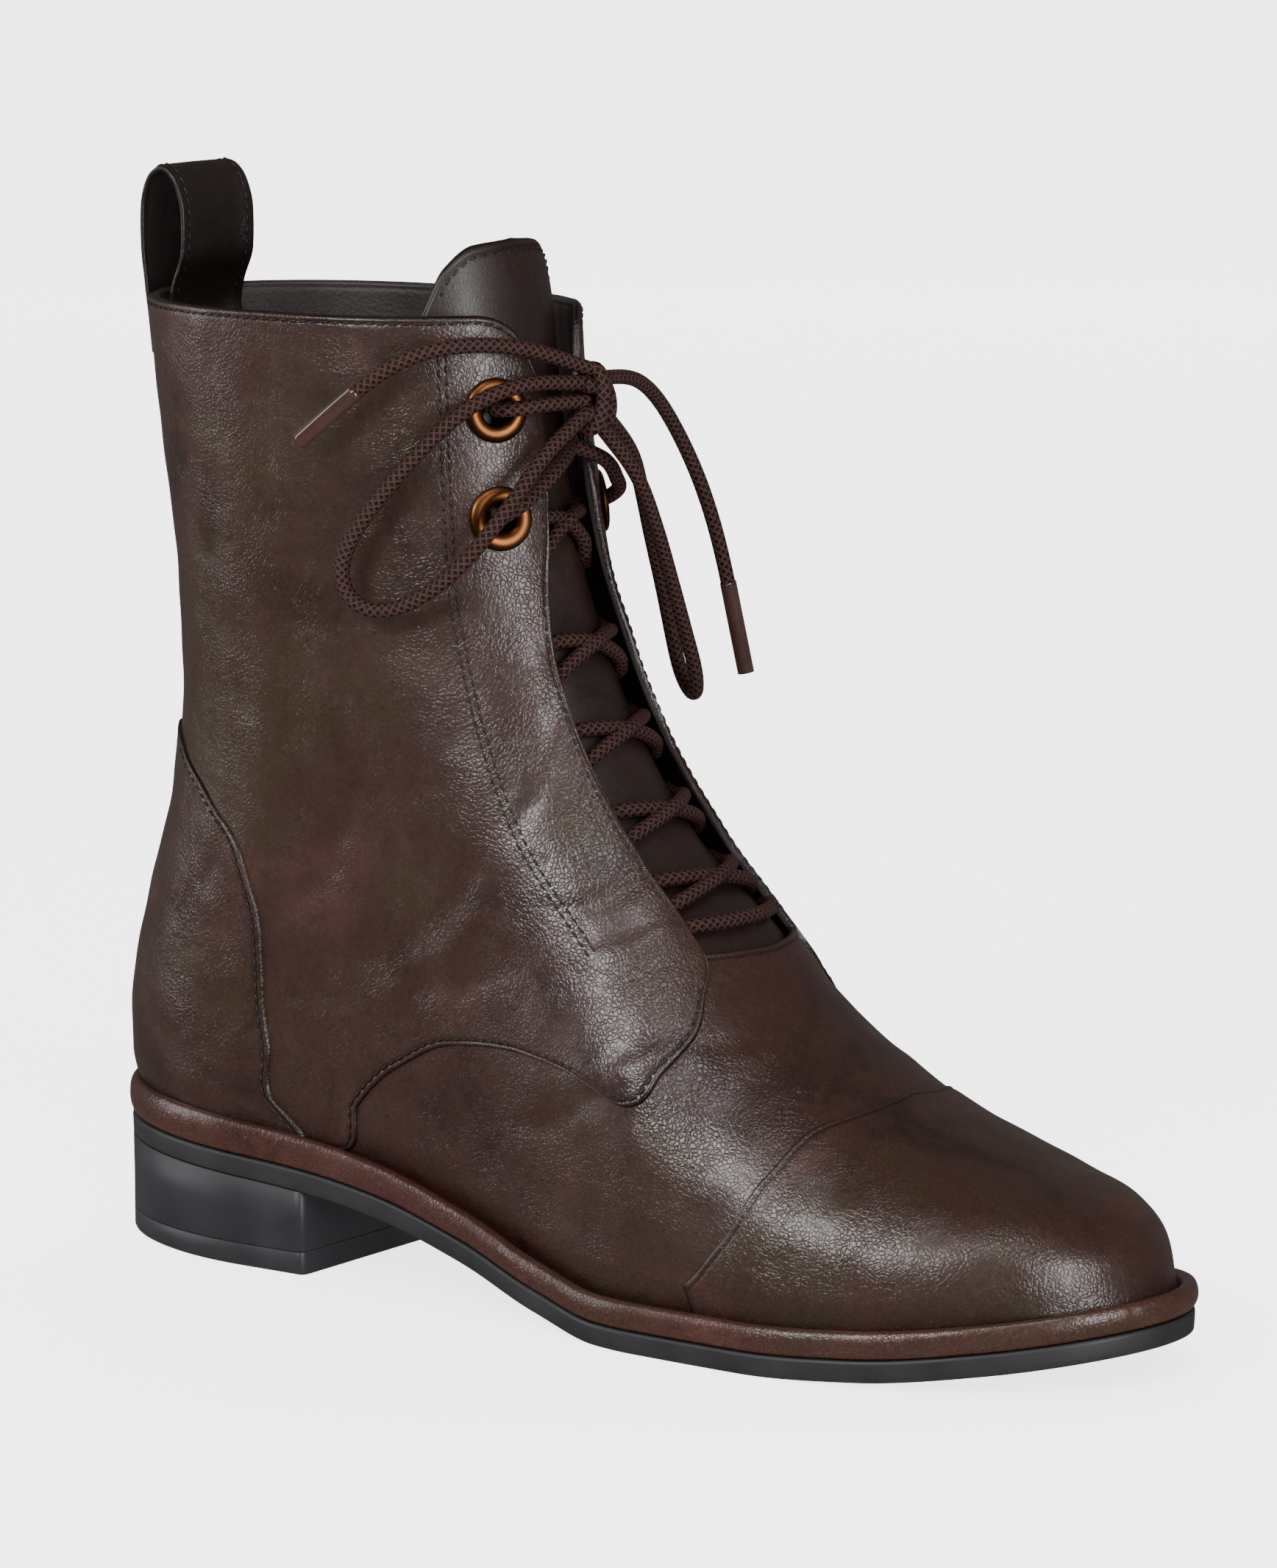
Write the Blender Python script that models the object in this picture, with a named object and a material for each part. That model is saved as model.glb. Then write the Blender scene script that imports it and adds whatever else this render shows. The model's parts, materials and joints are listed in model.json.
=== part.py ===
"""Lace-up ankle boot for the right foot: every piece at its real size.

Metres, +Z up. The toe points to +X, the inner side of the foot with the zip is +Y, and the origin is on
the floor under the middle of the sole. The upper follows one surface, last_point, which is worked out from
the named sizes below: c runs from 0 at the sole to 1 at the collar, and a runs round the boot, 0 at the
back, +1 at the front by the inner side and -1 at the front by the outer side.
"""
import bpy
import bmesh
import numpy as np
from math import pi, radians
from mathutils import Matrix, Vector

for old in list(bpy.data.objects):
    bpy.data.objects.remove(old, do_unlink=True)

MM = 0.001
GAP = 0.3 * MM                   # air kept between neighbouring pieces
SEAT_GAP = 0.5 * MM              # the same between curved pieces whose facets differ

# Sizes of the last
FOOT_LENGTH = 255 * MM           # from the back of the heel to the toe, where the upper meets the sole
BALL_WIDTH = 88 * MM
HEEL_RISE = 21.5 * MM            # height of the heel under the sole's back end
TOE_SPRING = 7 * MM
INSTEP_HEIGHT = 87 * MM          # from the ball's feather line to the bottom of the throat
SHAFT_HEIGHT = 110 * MM          # from the bottom of the throat to the collar
LEG_WIDTH = 68 * MM

# Sizes of the sole
OUTSOLE_THICKNESS = 4.6 * MM
PLATE_FORE = 3.0 * MM            # midsole under the forefoot
PLATE_HEEL = 5.0 * MM            # midsole under the heel
RAND_OVERHANG = 4.5 * MM
RAND_RISE = 2.2 * MM             # how far the rounded edge stands above the feather line
PANEL_CLEAR = 1.2 * MM           # height kept between that edge and the panels of the upper
HEEL_LENGTH = 62 * MM
HEEL_LIFT = 5.0 * MM
INSOLE_THICKNESS = 2.5 * MM
INSOLE_INSET = 1.7 * MM          # room between the insole's edge and the wall

# Leather
WALL = 1.8 * MM
PANEL = 0.9 * MM                 # how far a quarter, the toe cap or the counter stands out

# Roundness of the surface
BACK_ROUND = 46 * MM
TOE_ROUND = 60 * MM
SHAFT_ROUND = 50 * MM
TOP_ROUND = 58 * MM
FULLNESS = 2.4
CORNER_BLEND = 4.0
FEATHER_TUCK = 1.2 * MM
TUCK_HEIGHT = 9 * MM

# Height of the sole's underside: share of FOOT_LENGTH, share of HEEL_RISE, share of TOE_SPRING
UNDERSIDE = (
    (-0.02, 1.00, 0.00),
    (0.10, 0.95, 0.00),
    (0.23, 0.86, 0.00),
    (0.32, 0.72, 0.00),
    (0.42, 0.42, 0.00),
    (0.50, 0.16, 0.00),
    (0.58, 0.00, 0.00),
    (0.73, 0.00, 0.00),
    (0.82, 0.00, 0.13),
    (0.92, 0.00, 0.56),
    (1.02, 0.00, 1.16),
)

# Half widths at the feather line: share of FOOT_LENGTH, then outer and inner side as shares of BALL_WIDTH
FOOT_WIDTHS = (
    (0.00, 0.335, 0.335),
    (0.12, 0.340, 0.335),
    (0.26, 0.335, 0.305),
    (0.40, 0.355, 0.280),
    (0.52, 0.430, 0.350),
    (0.62, 0.495, 0.440),
    (0.72, 0.500, 0.485),
    (0.82, 0.465, 0.470),
    (0.92, 0.420, 0.420),
    (1.00, 0.390, 0.380),
)

# Half widths of the leg: share of the height from heel seat to collar, share of LEG_WIDTH
LEG_WIDTHS = (
    (0.00, 0.45),
    (0.25, 0.46),
    (0.48, 0.47),
    (0.75, 0.50),
    (1.00, 0.52),
    (1.25, 0.52),
)

# Back line: share of the height from heel seat to collar, share of FOOT_LENGTH
BACK_LINE = (
    (0.00, 0.000),
    (0.05, -0.008),
    (0.10, -0.009),
    (0.26, 0.015),
    (0.40, 0.043),
    (0.52, 0.052),
    (0.66, 0.049),
    (0.84, 0.035),
    (1.00, 0.022),
    (1.25, 0.004),
)

# Front line from toe to collar: share of FOOT_LENGTH, share of INSTEP_HEIGHT, share of SHAFT_HEIGHT
FRONT_LINE = (
    (1.000, 0.000, 0.000),
    (0.987, 0.120, 0.000),
    (0.950, 0.230, 0.000),
    (0.870, 0.340, 0.000),
    (0.770, 0.475, 0.000),
    (0.690, 0.620, 0.000),
    (0.650, 0.730, 0.000),
    (0.610, 0.870, 0.000),
    (0.570, 1.000, 0.000),
    (0.508, 1.000, 0.180),
    (0.465, 1.000, 0.364),
    (0.437, 1.000, 0.545),
    (0.420, 1.000, 0.773),
    (0.409, 1.000, 1.000),
    (0.405, 1.000, 1.210),
    (0.402, 1.000, 1.700),
)
BACK_CROWDING = 2.3              # rings lie closer together low on the heel
FRONT_CROWDING = 1.15
LEVEL_RINGS_FROM = 0.55          # above this share the rings are straight from the side


def columns(table):
    """The table's columns as arrays."""
    return np.array(table, dtype=float).T


def follow(at, knots, values):
    """Smooth curve through a table's rows that never overshoots between them."""
    at = np.asarray(at, dtype=float)
    span = np.diff(knots)
    slope = np.diff(values) / span
    tangent = np.zeros(len(values))
    tangent[0] = slope[0]
    tangent[-1] = slope[-1]
    before = 2 * span[1:] + span[:-1]
    after = span[1:] + 2 * span[:-1]
    for i in range(len(slope) - 1):
        if slope[i] * slope[i + 1] > 0:
            tangent[i + 1] = (before[i] + after[i]) / (before[i] / slope[i] + after[i] / slope[i + 1])
    at = np.clip(at, knots[0], knots[-1])
    i = np.clip(np.searchsorted(knots, at) - 1, 0, len(span) - 1)
    t = (at - np.asarray(knots)[i]) / span[i]
    start, end = np.asarray(values)[i], np.asarray(values)[i + 1]
    return ((2 * t**3 - 3 * t**2 + 1) * start + (t**3 - 2 * t**2 + t) * span[i] * tangent[i]
            + (3 * t**2 - 2 * t**3) * end + (t**3 - t**2) * span[i] * tangent[i + 1])


def ease(t):
    """0 below 0, 1 above 1, smooth between."""
    t = np.clip(t, 0.0, 1.0)
    return t * t * (3 - 2 * t)


def underside_height(x):
    """Height of the outsole's lower face at x."""
    along, heel, spring = columns(UNDERSIDE)
    share = np.asarray(x) / FOOT_LENGTH
    return HEEL_RISE * follow(share, along, heel) + TOE_SPRING * follow(share, along, spring)


def plate_thickness(x):
    """Midsole under the foot at x, thick at the heel and thin from the ball on."""
    return PLATE_HEEL + (PLATE_FORE - PLATE_HEEL) * ease(np.asarray(x) / FOOT_LENGTH / 0.6)


def rand_bottom(x):
    return underside_height(x) + OUTSOLE_THICKNESS + GAP


def feather_height(x):
    """Height at which the upper stands on the midsole."""
    return rand_bottom(x) + plate_thickness(x) + GAP


BALL_FEATHER = float(feather_height(0.65 * FOOT_LENGTH))
HEEL_SEAT = float(feather_height(0.0))
COLLAR_HEIGHT = BALL_FEATHER + INSTEP_HEIGHT + SHAFT_HEIGHT


def front_curve(points=400):
    """The front line seen from the side, from the toe up to above the collar: its x and z."""
    along, rise, climb = columns(FRONT_LINE)
    x = along * FOOT_LENGTH
    z = feather_height(np.maximum(x, 0.65 * FOOT_LENGTH)) + rise * INSTEP_HEIGHT + climb * SHAFT_HEIGHT
    way = np.concatenate(([0.0], np.cumsum(np.hypot(np.diff(x), np.diff(z)))))
    at = np.linspace(0, way[-1], points)
    return at, follow(at, way, x), follow(at, way, z)


FRONT_WAY, FRONT_X, FRONT_Z = front_curve()
COLLAR_WAY = float(np.interp(COLLAR_HEIGHT, FRONT_Z, FRONT_WAY))


def ridge_height(x):
    """Height of the front line over x; behind the shaft's front it is far above the boot."""
    far_above = FRONT_Z[-1] + 4 * COLLAR_HEIGHT
    return np.interp(x, np.append(0.0, FRONT_X[::-1]), np.append(far_above, FRONT_Z[::-1]))


def front_x(z):
    return np.interp(z, FRONT_Z, FRONT_X)


def back_x(z):
    up, setback = columns(BACK_LINE)
    share = (np.asarray(z) - HEEL_SEAT) / (COLLAR_HEIGHT - HEEL_SEAT)
    return follow(share, up, setback) * FOOT_LENGTH


def half_width(x, z, inner):
    """Distance of the surface from the boot's middle plane, on the inner or the outer side."""
    along, outer_share, inner_share = columns(FOOT_WIDTHS)
    share = x / FOOT_LENGTH
    foot = BALL_WIDTH * np.where(inner, follow(share, along, inner_share), follow(share, along, outer_share))
    up, leg_share = columns(LEG_WIDTHS)
    leg = LEG_WIDTH * follow((z - HEEL_SEAT) / (COLLAR_HEIGHT - HEEL_SEAT), up, leg_share)
    leg_from = HEEL_SEAT + 0.12 * (COLLAR_HEIGHT - HEEL_SEAT)
    leg_to = HEEL_SEAT + 0.50 * (COLLAR_HEIGHT - HEEL_SEAT)
    base = foot + (leg - foot) * ease((z - leg_from) / (leg_to - leg_from))
    back = np.clip((x - back_x(z)) / BACK_ROUND, 0, 1)
    front_round = TOE_ROUND + (SHAFT_ROUND - TOE_ROUND) * ease((z - BALL_FEATHER) / INSTEP_HEIGHT)
    room = ridge_height(x) - feather_height(x)
    top_round = np.minimum(TOP_ROUND, np.maximum(0.95 * room, 10 * MM))
    ahead = np.maximum((front_x(z) - x) / front_round, 1e-9)
    above = np.maximum((ridge_height(x) - z) / top_round, 1e-9)
    edge = (ahead**-CORNER_BLEND + above**-CORNER_BLEND) ** (-1 / CORNER_BLEND)
    edge = np.clip(edge, 0, 1)
    tuck = FEATHER_TUCK * (1 - ease((z - feather_height(x)) / TUCK_HEIGHT))
    closure = np.sqrt(1 - (1 - back) ** 2) * np.sqrt(1 - (1 - edge) ** FULLNESS)
    return (base - tuck) * closure


def last_point(c, a):
    """Outer face of the upper's wall at height share c and way round a (arrays of one shape)."""
    c, a = np.broadcast_arrays(np.asarray(c, dtype=float), np.asarray(a, dtype=float))
    back_z = HEEL_SEAT + (COLLAR_HEIGHT - HEEL_SEAT) * c**BACK_CROWDING
    way = COLLAR_WAY * c**FRONT_CROWDING
    end_x = np.interp(way, FRONT_WAY, FRONT_X)
    end_z = np.interp(way, FRONT_WAY, FRONT_Z)
    start_x = back_x(back_z)
    share = (1 - np.cos(pi * a)) / 2
    x = start_x + (end_x - start_x) * share
    straight = back_z + (end_z - back_z) * share
    start_lift = back_z - feather_height(start_x)
    end_lift = end_z - feather_height(end_x)
    beside_sole = feather_height(x) + start_lift + (end_lift - start_lift) * share
    z = beside_sole + (straight - beside_sole) * ease(c / LEVEL_RINGS_FROM)
    inner = np.sin(pi * a) >= 0
    y = half_width(x, z, inner) * np.where(inner, 1.0, -1.0)
    return np.stack([x, y, z], axis=-1)


def outward(c, a):
    """Unit normal of the surface, pointing out of the boot."""
    step = 0.002
    c, a = np.broadcast_arrays(np.asarray(c, dtype=float), np.asarray(a, dtype=float))
    low = np.maximum(c - step, 0)
    up = last_point(c + step, a) - last_point(low, a)
    along = last_point(c, a + step) - last_point(c, a - step)
    normal = np.cross(up, along)
    return normal / np.linalg.norm(normal, axis=-1, keepdims=True)


def at_level(c, a, level):
    """Point at a distance outside (or, below 0, inside) the wall's outer face."""
    return last_point(c, a) + outward(c, a) * np.asarray(level)[..., None]


# Panels of the upper, as places on its surface

# Front edge of the lace flaps: height share c, then how far round the edge lies, outer and inner side
FLAP_FRONT = (
    (0.00, 0.883, 0.860),
    (0.46, 0.883, 0.860),
    (0.49, 0.892, 0.866),
    (0.54, 0.882, 0.858),
    (0.63, 0.870, 0.850),
    (0.74, 0.882, 0.862),
    (0.85, 0.935, 0.900),
    (0.92, 0.952, 0.915),
    (1.00, 0.955, 0.918),
)

# Lower edge of a quarter and its flap: share of the way round to the flap's front edge, height share c
QUARTER_LOWER = (
    (0.000, 0.000),
    (0.387, 0.000),
    (0.453, 0.210),
    (0.529, 0.325),
    (0.614, 0.385),
    (0.693, 0.395),
    (0.760, 0.380),
    (0.797, 0.345),
    (0.873, 0.390),
    (0.943, 0.430),
    (1.000, 0.465),
)

# Upper edge of a quarter: share of the way round to the flap's front edge, height share c
QUARTER_UPPER = (
    (0.000, 1.000),
    (0.880, 1.000),
    (0.950, 0.993),
    (1.000, 0.972),
)

# Seam in front of which the flap is free: height share c, way round a
FLAP_SEAM = (
    (0.45, 0.780),
    (0.54, 0.745),
    (0.62, 0.729),
    (0.70, 0.734),
    (0.80, 0.748),
    (0.90, 0.770),
    (1.00, 0.787),
    (1.20, 0.800),
)

# Edge of the heel counter: height share c, way round a
COUNTER_EDGE = (
    (0.00, 0.328),
    (0.18, 0.325),
    (0.35, 0.358),
    (0.52, 0.379),
    (0.60, 0.364),
    (0.65, 0.312),
    (0.70, 0.205),
    (0.72, 0.120),
)

# Upper edge of the toe cap: share of the way from the front to the sole, height share c
TOE_CAP_EDGE = (
    (0.000, 0.335),
    (0.366, 0.312),
    (0.655, 0.235),
    (0.912, 0.110),
    (1.000, 0.060),
)
TOE_CAP_SPREAD = 0.388           # way round from the front to the toe cap's foot

# Bottom of the throat: share of the way from the front to the flap seam, height share c
THROAT_LOWER = (
    (0.00, 0.500),
    (0.60, 0.505),
    (1.00, 0.530),
)

# Upper edge of the tongue: share of its half width, height share c
TONGUE_UPPER = (
    (0.00, 1.050),
    (0.50, 1.046),
    (0.80, 1.030),
    (1.00, 1.000),
)

# How deep the tongue lies under the upper's outer face: height share c, depth
TONGUE_THICKNESS = 2.6 * MM
TONGUE_DEPTH = 5.0 * MM          # up the shaft
TONGUE_FOOT_DEPTH = WALL + 2 * GAP
TONGUE_FROM = 0.455
TONGUE_SPREAD = 0.245            # way round from the front to the tongue's side edge

FLAP_INNER = 1.1 * MM            # the flap's inner face lies this far inside the wall's outer face
COUNTER_STEP = 1.75 * MM         # outer face of the counter over the wall
TOE_CAP_STEP = 0.8 * MM
BACKSTAY_STEP = 0.8 * MM         # the back strip over what it lies on
BACKSTAY_WIDTH = 12 * MM
BACKSTAY_FROM = 0.42
BACKSTAY_TO = 0.93
PANEL_GRIP = 1.1 * MM            # a panel's inner face inside the wall, where it is joined
CUT_DEPTH = 6 * MM               # reach of the zip slot's and the eyelet holes' cutters on either side
THROAT_CUT = 9 * MM              # the same for the throat
ABOVE_COLLAR = 1.10              # height share to which the cutters reach
WALL_ROWS = 21
WALL_COLUMNS = 44
WALL_ROW_CROWDING = 1.35         # the rows lie closer together near the sole


# Eyelets, laces, pull loop and zip

EYELET_SIZE = 13.5 * MM
EYELET_BORE = 8.0 * MM
EYELET_RIM = 1.1 * MM            # height of the rim over the flap
EYELET_HOLE = 9.8 * MM           # hole in the flap
EYELET_BARREL = 9.0 * MM
EYELETS = (                      # height share c, way round on the outer side
    ("1", 0.935, 0.862),
    ("2", 0.860, 0.846),
)
INNER_EYELET_SHIFT = 0.036       # the inner flap's eyelets lie this much further from the front

LACE = 3.2 * MM
AGLET = 3.6 * MM
LACE_ROWS = (0.845, 0.757, 0.690, 0.623, 0.560)      # height shares of the crossings on the tongue
LACE_BAR = 0.527
ROW_SPREAD = 0.012               # half the distance between a row's two strands at the flaps
EDGE_ROOM = 0.008                # way round kept between a strand's end and the flap's edge
TONGUE_ROOM = 0.5 * MM           # air between a strand and the curved tongue

# The crossing over the flaps: height share c, way round a on the outer side, height over the surface in MM
TOP_CROSSING = (
    (0.860, 0.846, -0.5),
    (0.862, 0.851, 2.6),
    (0.867, 0.868, 4.8),
    (0.877, 0.902, 4.8),
    (0.890, 0.945, 4.2),
    (0.899, 0.985, 2.4),
    (0.905, 1.020, 0.4),
    (0.908, 1.045, -0.8),
)

PULL_LOOP_WIDTH = 24 * MM
PULL_LOOP_HEIGHT = 26 * MM
PULL_LOOP_THICKNESS = 1.6 * MM
# The pull loop from the side, from its outer end over the top to its inner end: shares of its height
# behind the back line and over the collar
PULL_LOOP_LINE = (
    (-0.090, -0.52),
    (-0.090, -0.26),
    (-0.095, -0.03),
    (-0.120, 0.30),
    (-0.090, 0.68),
    (0.015, 0.94),
    (0.130, 1.00),
    (0.250, 0.92),
    (0.330, 0.66),
    (0.300, 0.32),
    (0.190, 0.05),
    (0.130, -0.20),
    (0.130, -0.52),
)

ZIP_SLOT = 6.4 * MM
ZIP_FROM = 0.41
ZIP_END_ROOM = 0.008             # height share that the tape and the coil keep from the slot's ends
TAPE_DEPTH = 0.4 * MM            # the tape's outer face under the wall's
# Middle of the zip on the inner side: height share c, way round a
ZIP_LINE = (
    (0.40, 0.475),
    (0.70, 0.495),
    (1.00, 0.510),
    (1.20, 0.515),
)
COIL_WIDTH = 3.2 * MM
SLIDER_AT = 0.978
SLIDER_WIDTH = 9 * MM
SLIDER_LENGTH = 12 * MM
SLIDER_HEIGHT = 3 * MM
BRIDGE_WIDTH = 2.2 * MM
BRIDGE_LENGTH = 8.4 * MM
BRIDGE_POST = 1.3 * MM
BRIDGE_ROOM = 2.6 * MM           # height under the slider's bridge, where the pull turns
BRIDGE_ROOF = 0.9 * MM
PULL_WIDTH = 8.7 * MM
PULL_LENGTH = 26 * MM
PULL_THICKNESS = 1.4 * MM
PULL_WINDOW = 5.2 * MM           # length of the opening that takes the bridge
PULL_WINDOW_ROOM = 0.5 * MM      # air on either side of the bridge

# The bow, hand-chosen points in millimetres from the middle of the front beside the top eyelets: forward,
# to the inner side and up. A strand that meets the knot gives its height there instead of a point.
BOW_AT = 0.935                   # height share c of that middle
KNOT = (8.7, 1.0, 1.6)
KNOT_SIZE = (4.8, 4.8, 8.0)
TOP_STRANDS = {
    "lace_top_outer": ((-4.9, -15.5, -0.3), (-1.9, -16.2, 0.1), (1.3, -14.2, 0.4),
                       (3.9, -10.4, 0.9), 1.1),
    "lace_top_inner": ((-7.5, 19.2, -0.4), (-4.5, 20.3, -0.1), (-1.0, 18.9, 0.2),
                       (2.3, 14.6, 0.6), 1.3),
}
CORDS = {
    "lace_loop_outer": (5.1, (3.1, -14.6, 5.7), (-2.7, -23.6, 2.5), (-9.3, -30.4, -4.9),
                        (-16.3, -34.8, -13.9), (-23.3, -38.0, -23.9), (-27.3, -39.0, -31.9), (-25.7, -39.0, -38.5),
                        (-18.3, -37.0, -41.3), (-10.3, -34.0, -37.9), (-2.9, -31.2, -31.9), (2.3, -27.4, -24.5),
                        (5.9, -22.0, -16.7), (7.1, -14.6, -9.1), -2.7),
    "lace_loop_inner": (-2.5, (7.1, 16.0, -10.3), (2.7, 26.0, -19.9), (-0.9, 34.6, -31.3),
                        (-2.7, 41.6, -43.9), (-2.9, 45.8, -55.9), (-1.7, 47.6, -64.5), (2.3, 46.6, -68.1),
                        (5.1, 43.4, -63.3), (5.9, 38.2, -52.9), (7.5, 30.4, -39.9), (9.9, 20.4, -25.3),
                        (11.3, 11.4, -13.9), -6.1),
    "lace_end_outer": (8.7, (2.1, -13.4, 12.7), (-4.5, -22.8, 13.9), (-13.7, -31.4, 11.9),
                       (-20.3, -36.0, 7.3), (-22.9, -37.4, 4.9)),
    "lace_end_inner": (5.5, (7.3, 16.0, 4.7), (5.3, 27.0, 0.1), (4.3, 37.0, -8.9),
                       (5.1, 44.4, -20.5), (6.9, 48.4, -32.9), (8.3, 49.8, -41.5)),
}
AGLETS = {
    "aglet_outer": ((-23.3, -37.7, 4.5), (-29.3, -39.8, -0.9), (-35.9, -41.0, -6.5)),
    "aglet_inner": ((8.4, 49.9, -42.2), (9.7, 51.4, -51.9), (11.3, 52.6, -61.9)),
}


def way_round_front(c, side):
    """Where the flap's front edge lies on a side, -1 for outer and +1 for inner."""
    height, outer_edge, inner_edge = columns(FLAP_FRONT)
    return np.where(np.asarray(side) > 0, follow(c, height, inner_edge), follow(c, height, outer_edge))


def share_at_lift(a, lift):
    """Height share c at which the surface at a is lift above the feather line."""
    tries = np.linspace(0, 0.4, 161)
    shares = []
    for way in np.atleast_1d(a):
        point = last_point(tries, way)
        rise = point[:, 2] - feather_height(point[:, 0])
        shares.append(np.interp(lift, rise, tries))
    return np.array(shares)


def way_at_width(c, width):
    """Way round a, near the back, at which the surface is width from the middle plane."""
    tries = np.linspace(0, 0.3, 121)
    return np.array([np.interp(width, last_point(share, tries)[:, 1], tries) for share in np.atleast_1d(c)])


def material(name, color, roughness, metallic=0.0):
    """Principled material with the part's own look."""
    made = bpy.data.materials.new(name)
    made.use_nodes = True
    shader = made.node_tree.nodes["Principled BSDF"]
    shader.inputs["Base Color"].default_value = (*color, 1.0)
    shader.inputs["Roughness"].default_value = roughness
    shader.inputs["Metallic"].default_value = metallic
    return made


def new_object(name, bm, look):
    """Object from a bmesh whose faces are turned outward, moved so that the sole's middle is the origin."""
    bmesh.ops.triangulate(bm, faces=bm.faces[:])
    bmesh.ops.recalc_face_normals(bm, faces=bm.faces[:])
    if bm.calc_volume(signed=True) < 0:
        bmesh.ops.reverse_faces(bm, faces=bm.faces[:])
    bmesh.ops.translate(bm, vec=-CENTRE, verts=bm.verts[:])
    mesh = bpy.data.meshes.new(name)
    bm.to_mesh(mesh)
    bm.free()
    mesh.materials.append(look)
    mesh.shade_smooth()
    mesh.set_sharp_from_angle(angle=radians(35))
    made = bpy.data.objects.new(name, mesh)
    bpy.context.scene.collection.objects.link(made)
    return made


def as_tool(tool):
    """Marks an object as a helper for a Boolean, not a piece."""
    tool.hide_render = True
    tool.display_type = "WIRE"


def combine(target, tool, operation, solver="EXACT"):
    """Boolean of a piece with a helper."""
    modifier = target.modifiers.new(tool.name, "BOOLEAN")
    modifier.operation = operation
    modifier.object = tool
    modifier.solver = solver
    as_tool(tool)


def layer(outer, inner, closed=False):
    """Closed bmesh between two grids of points, rows by places round; closed joins last column to first."""
    bm = bmesh.new()
    rows, cols = outer.shape[:2]
    front = [[bm.verts.new(point) for point in row] for row in outer]
    back = [[bm.verts.new(point) for point in row] for row in inner]
    last = cols if closed else cols - 1
    for i in range(rows - 1):
        for j in range(last):
            k = (j + 1) % cols
            bm.faces.new((front[i][j], front[i + 1][j], front[i + 1][k], front[i][k]))
            bm.faces.new((back[i][j], back[i][k], back[i + 1][k], back[i + 1][j]))
    for j in range(last):
        k = (j + 1) % cols
        bm.faces.new((front[0][j], front[0][k], back[0][k], back[0][j]))
        bm.faces.new((front[-1][j], back[-1][j], back[-1][k], front[-1][k]))
    if not closed:
        for i in range(rows - 1):
            bm.faces.new((front[i][0], back[i][0], back[i + 1][0], front[i + 1][0]))
            bm.faces.new((front[i][-1], front[i + 1][-1], back[i + 1][-1], back[i][-1]))
    return bm


def sheet(name, c, a, outer, inner, look, closed=False):
    """Piece of the upper's surface between two levels, over grids of c and a."""
    c, a = np.broadcast_arrays(c, a)
    outer = np.broadcast_to(outer, c.shape)
    inner = np.broadcast_to(inner, c.shape)
    return new_object(name, layer(at_level(c, a, outer), at_level(c, a, inner), closed), look)


def both_ways(table_column, step):
    """Places -1 to 1 through a table's own places on both sides, at most step apart."""
    steps = [np.linspace(start, end, int(np.ceil((end - start) / step)), endpoint=False)
             for start, end in zip(table_column[:-1], table_column[1:])]
    half = np.append(np.concatenate(steps), table_column[-1])
    return np.concatenate((-half[:0:-1], half))


def plan(offset, stations, end=None):
    """Outline offset outside the feather line: x of the stations from the back, y of the outer and inner side.

    The first station is the back's single point. Without end the last is the toe's single point; with it the
    outline is cut straight across at x = end.
    """
    ways = np.linspace(0, 1, 801)
    sides = []
    for side in (-1, 1):
        edge = last_point(np.zeros_like(ways), side * ways)
        along = np.gradient(edge[:, :2], axis=0)
        along /= np.linalg.norm(along, axis=1, keepdims=True)
        normal = side * np.stack([-along[:, 1], along[:, 0]], axis=1)
        normal[0] = (-1, 0)
        normal[-1] = (1, 0)
        sides.append(edge[:, :2] + offset * normal)
    start = -offset
    turn = pi if end is None else pi / 2
    stop = FOOT_LENGTH + offset if end is None else end
    reach = (1 - np.cos(turn * np.arange(stations + 1) / stations)) / (1 - np.cos(turn))
    x = start + (stop - start) * reach
    outer_y = np.interp(x, sides[0][:, 0], sides[0][:, 1])
    inner_y = np.interp(x, sides[1][:, 0], sides[1][:, 1])
    outer_y[0] = inner_y[0] = 0
    if end is None:
        outer_y[-1] = inner_y[-1] = 0
    return x, outer_y, inner_y


def stacked(name, levels, stations, look, end=None):
    """Closed solid through outlines one above the other; a level is its offset and a height function."""
    bm = bmesh.new()
    loops = []
    for offset, height in levels:
        x, outer_y, inner_y = plan(offset, stations, end)
        z = height(x)
        outer_side = [bm.verts.new(point) for point in zip(x, outer_y, z)]
        last = -1 if end is None else None
        inner_side = [bm.verts.new(point) for point in zip(x[1:last], inner_y[1:last], z[1:last])]
        loops.append((outer_side, inner_side))
    for (low_outer, low_inner), (high_outer, high_inner) in zip(loops[:-1], loops[1:]):
        low = low_outer + low_inner[::-1]
        high = high_outer + high_inner[::-1]
        for j in range(len(low)):
            k = (j + 1) % len(low)
            bm.faces.new((low[j], low[k], high[k], high[j]))
    for outer_side, inner_side in (loops[0], loops[-1]):
        bm.faces.new((outer_side[0], outer_side[1], inner_side[0]))
        for j in range(len(inner_side) - 1):
            bm.faces.new((outer_side[j + 1], outer_side[j + 2], inner_side[j + 1], inner_side[j]))
        if end is None:
            bm.faces.new((outer_side[-2], outer_side[-1], inner_side[-1]))
    return new_object(name, bm, look)


def sole_middle():
    """Point on the floor under the middle of the sole's bounding box."""
    x, outer_y, inner_y = plan(RAND_OVERHANG, 200)
    return Vector(((x[0] + x[-1]) / 2, (outer_y.min() + inner_y.max()) / 2, 0))


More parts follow.
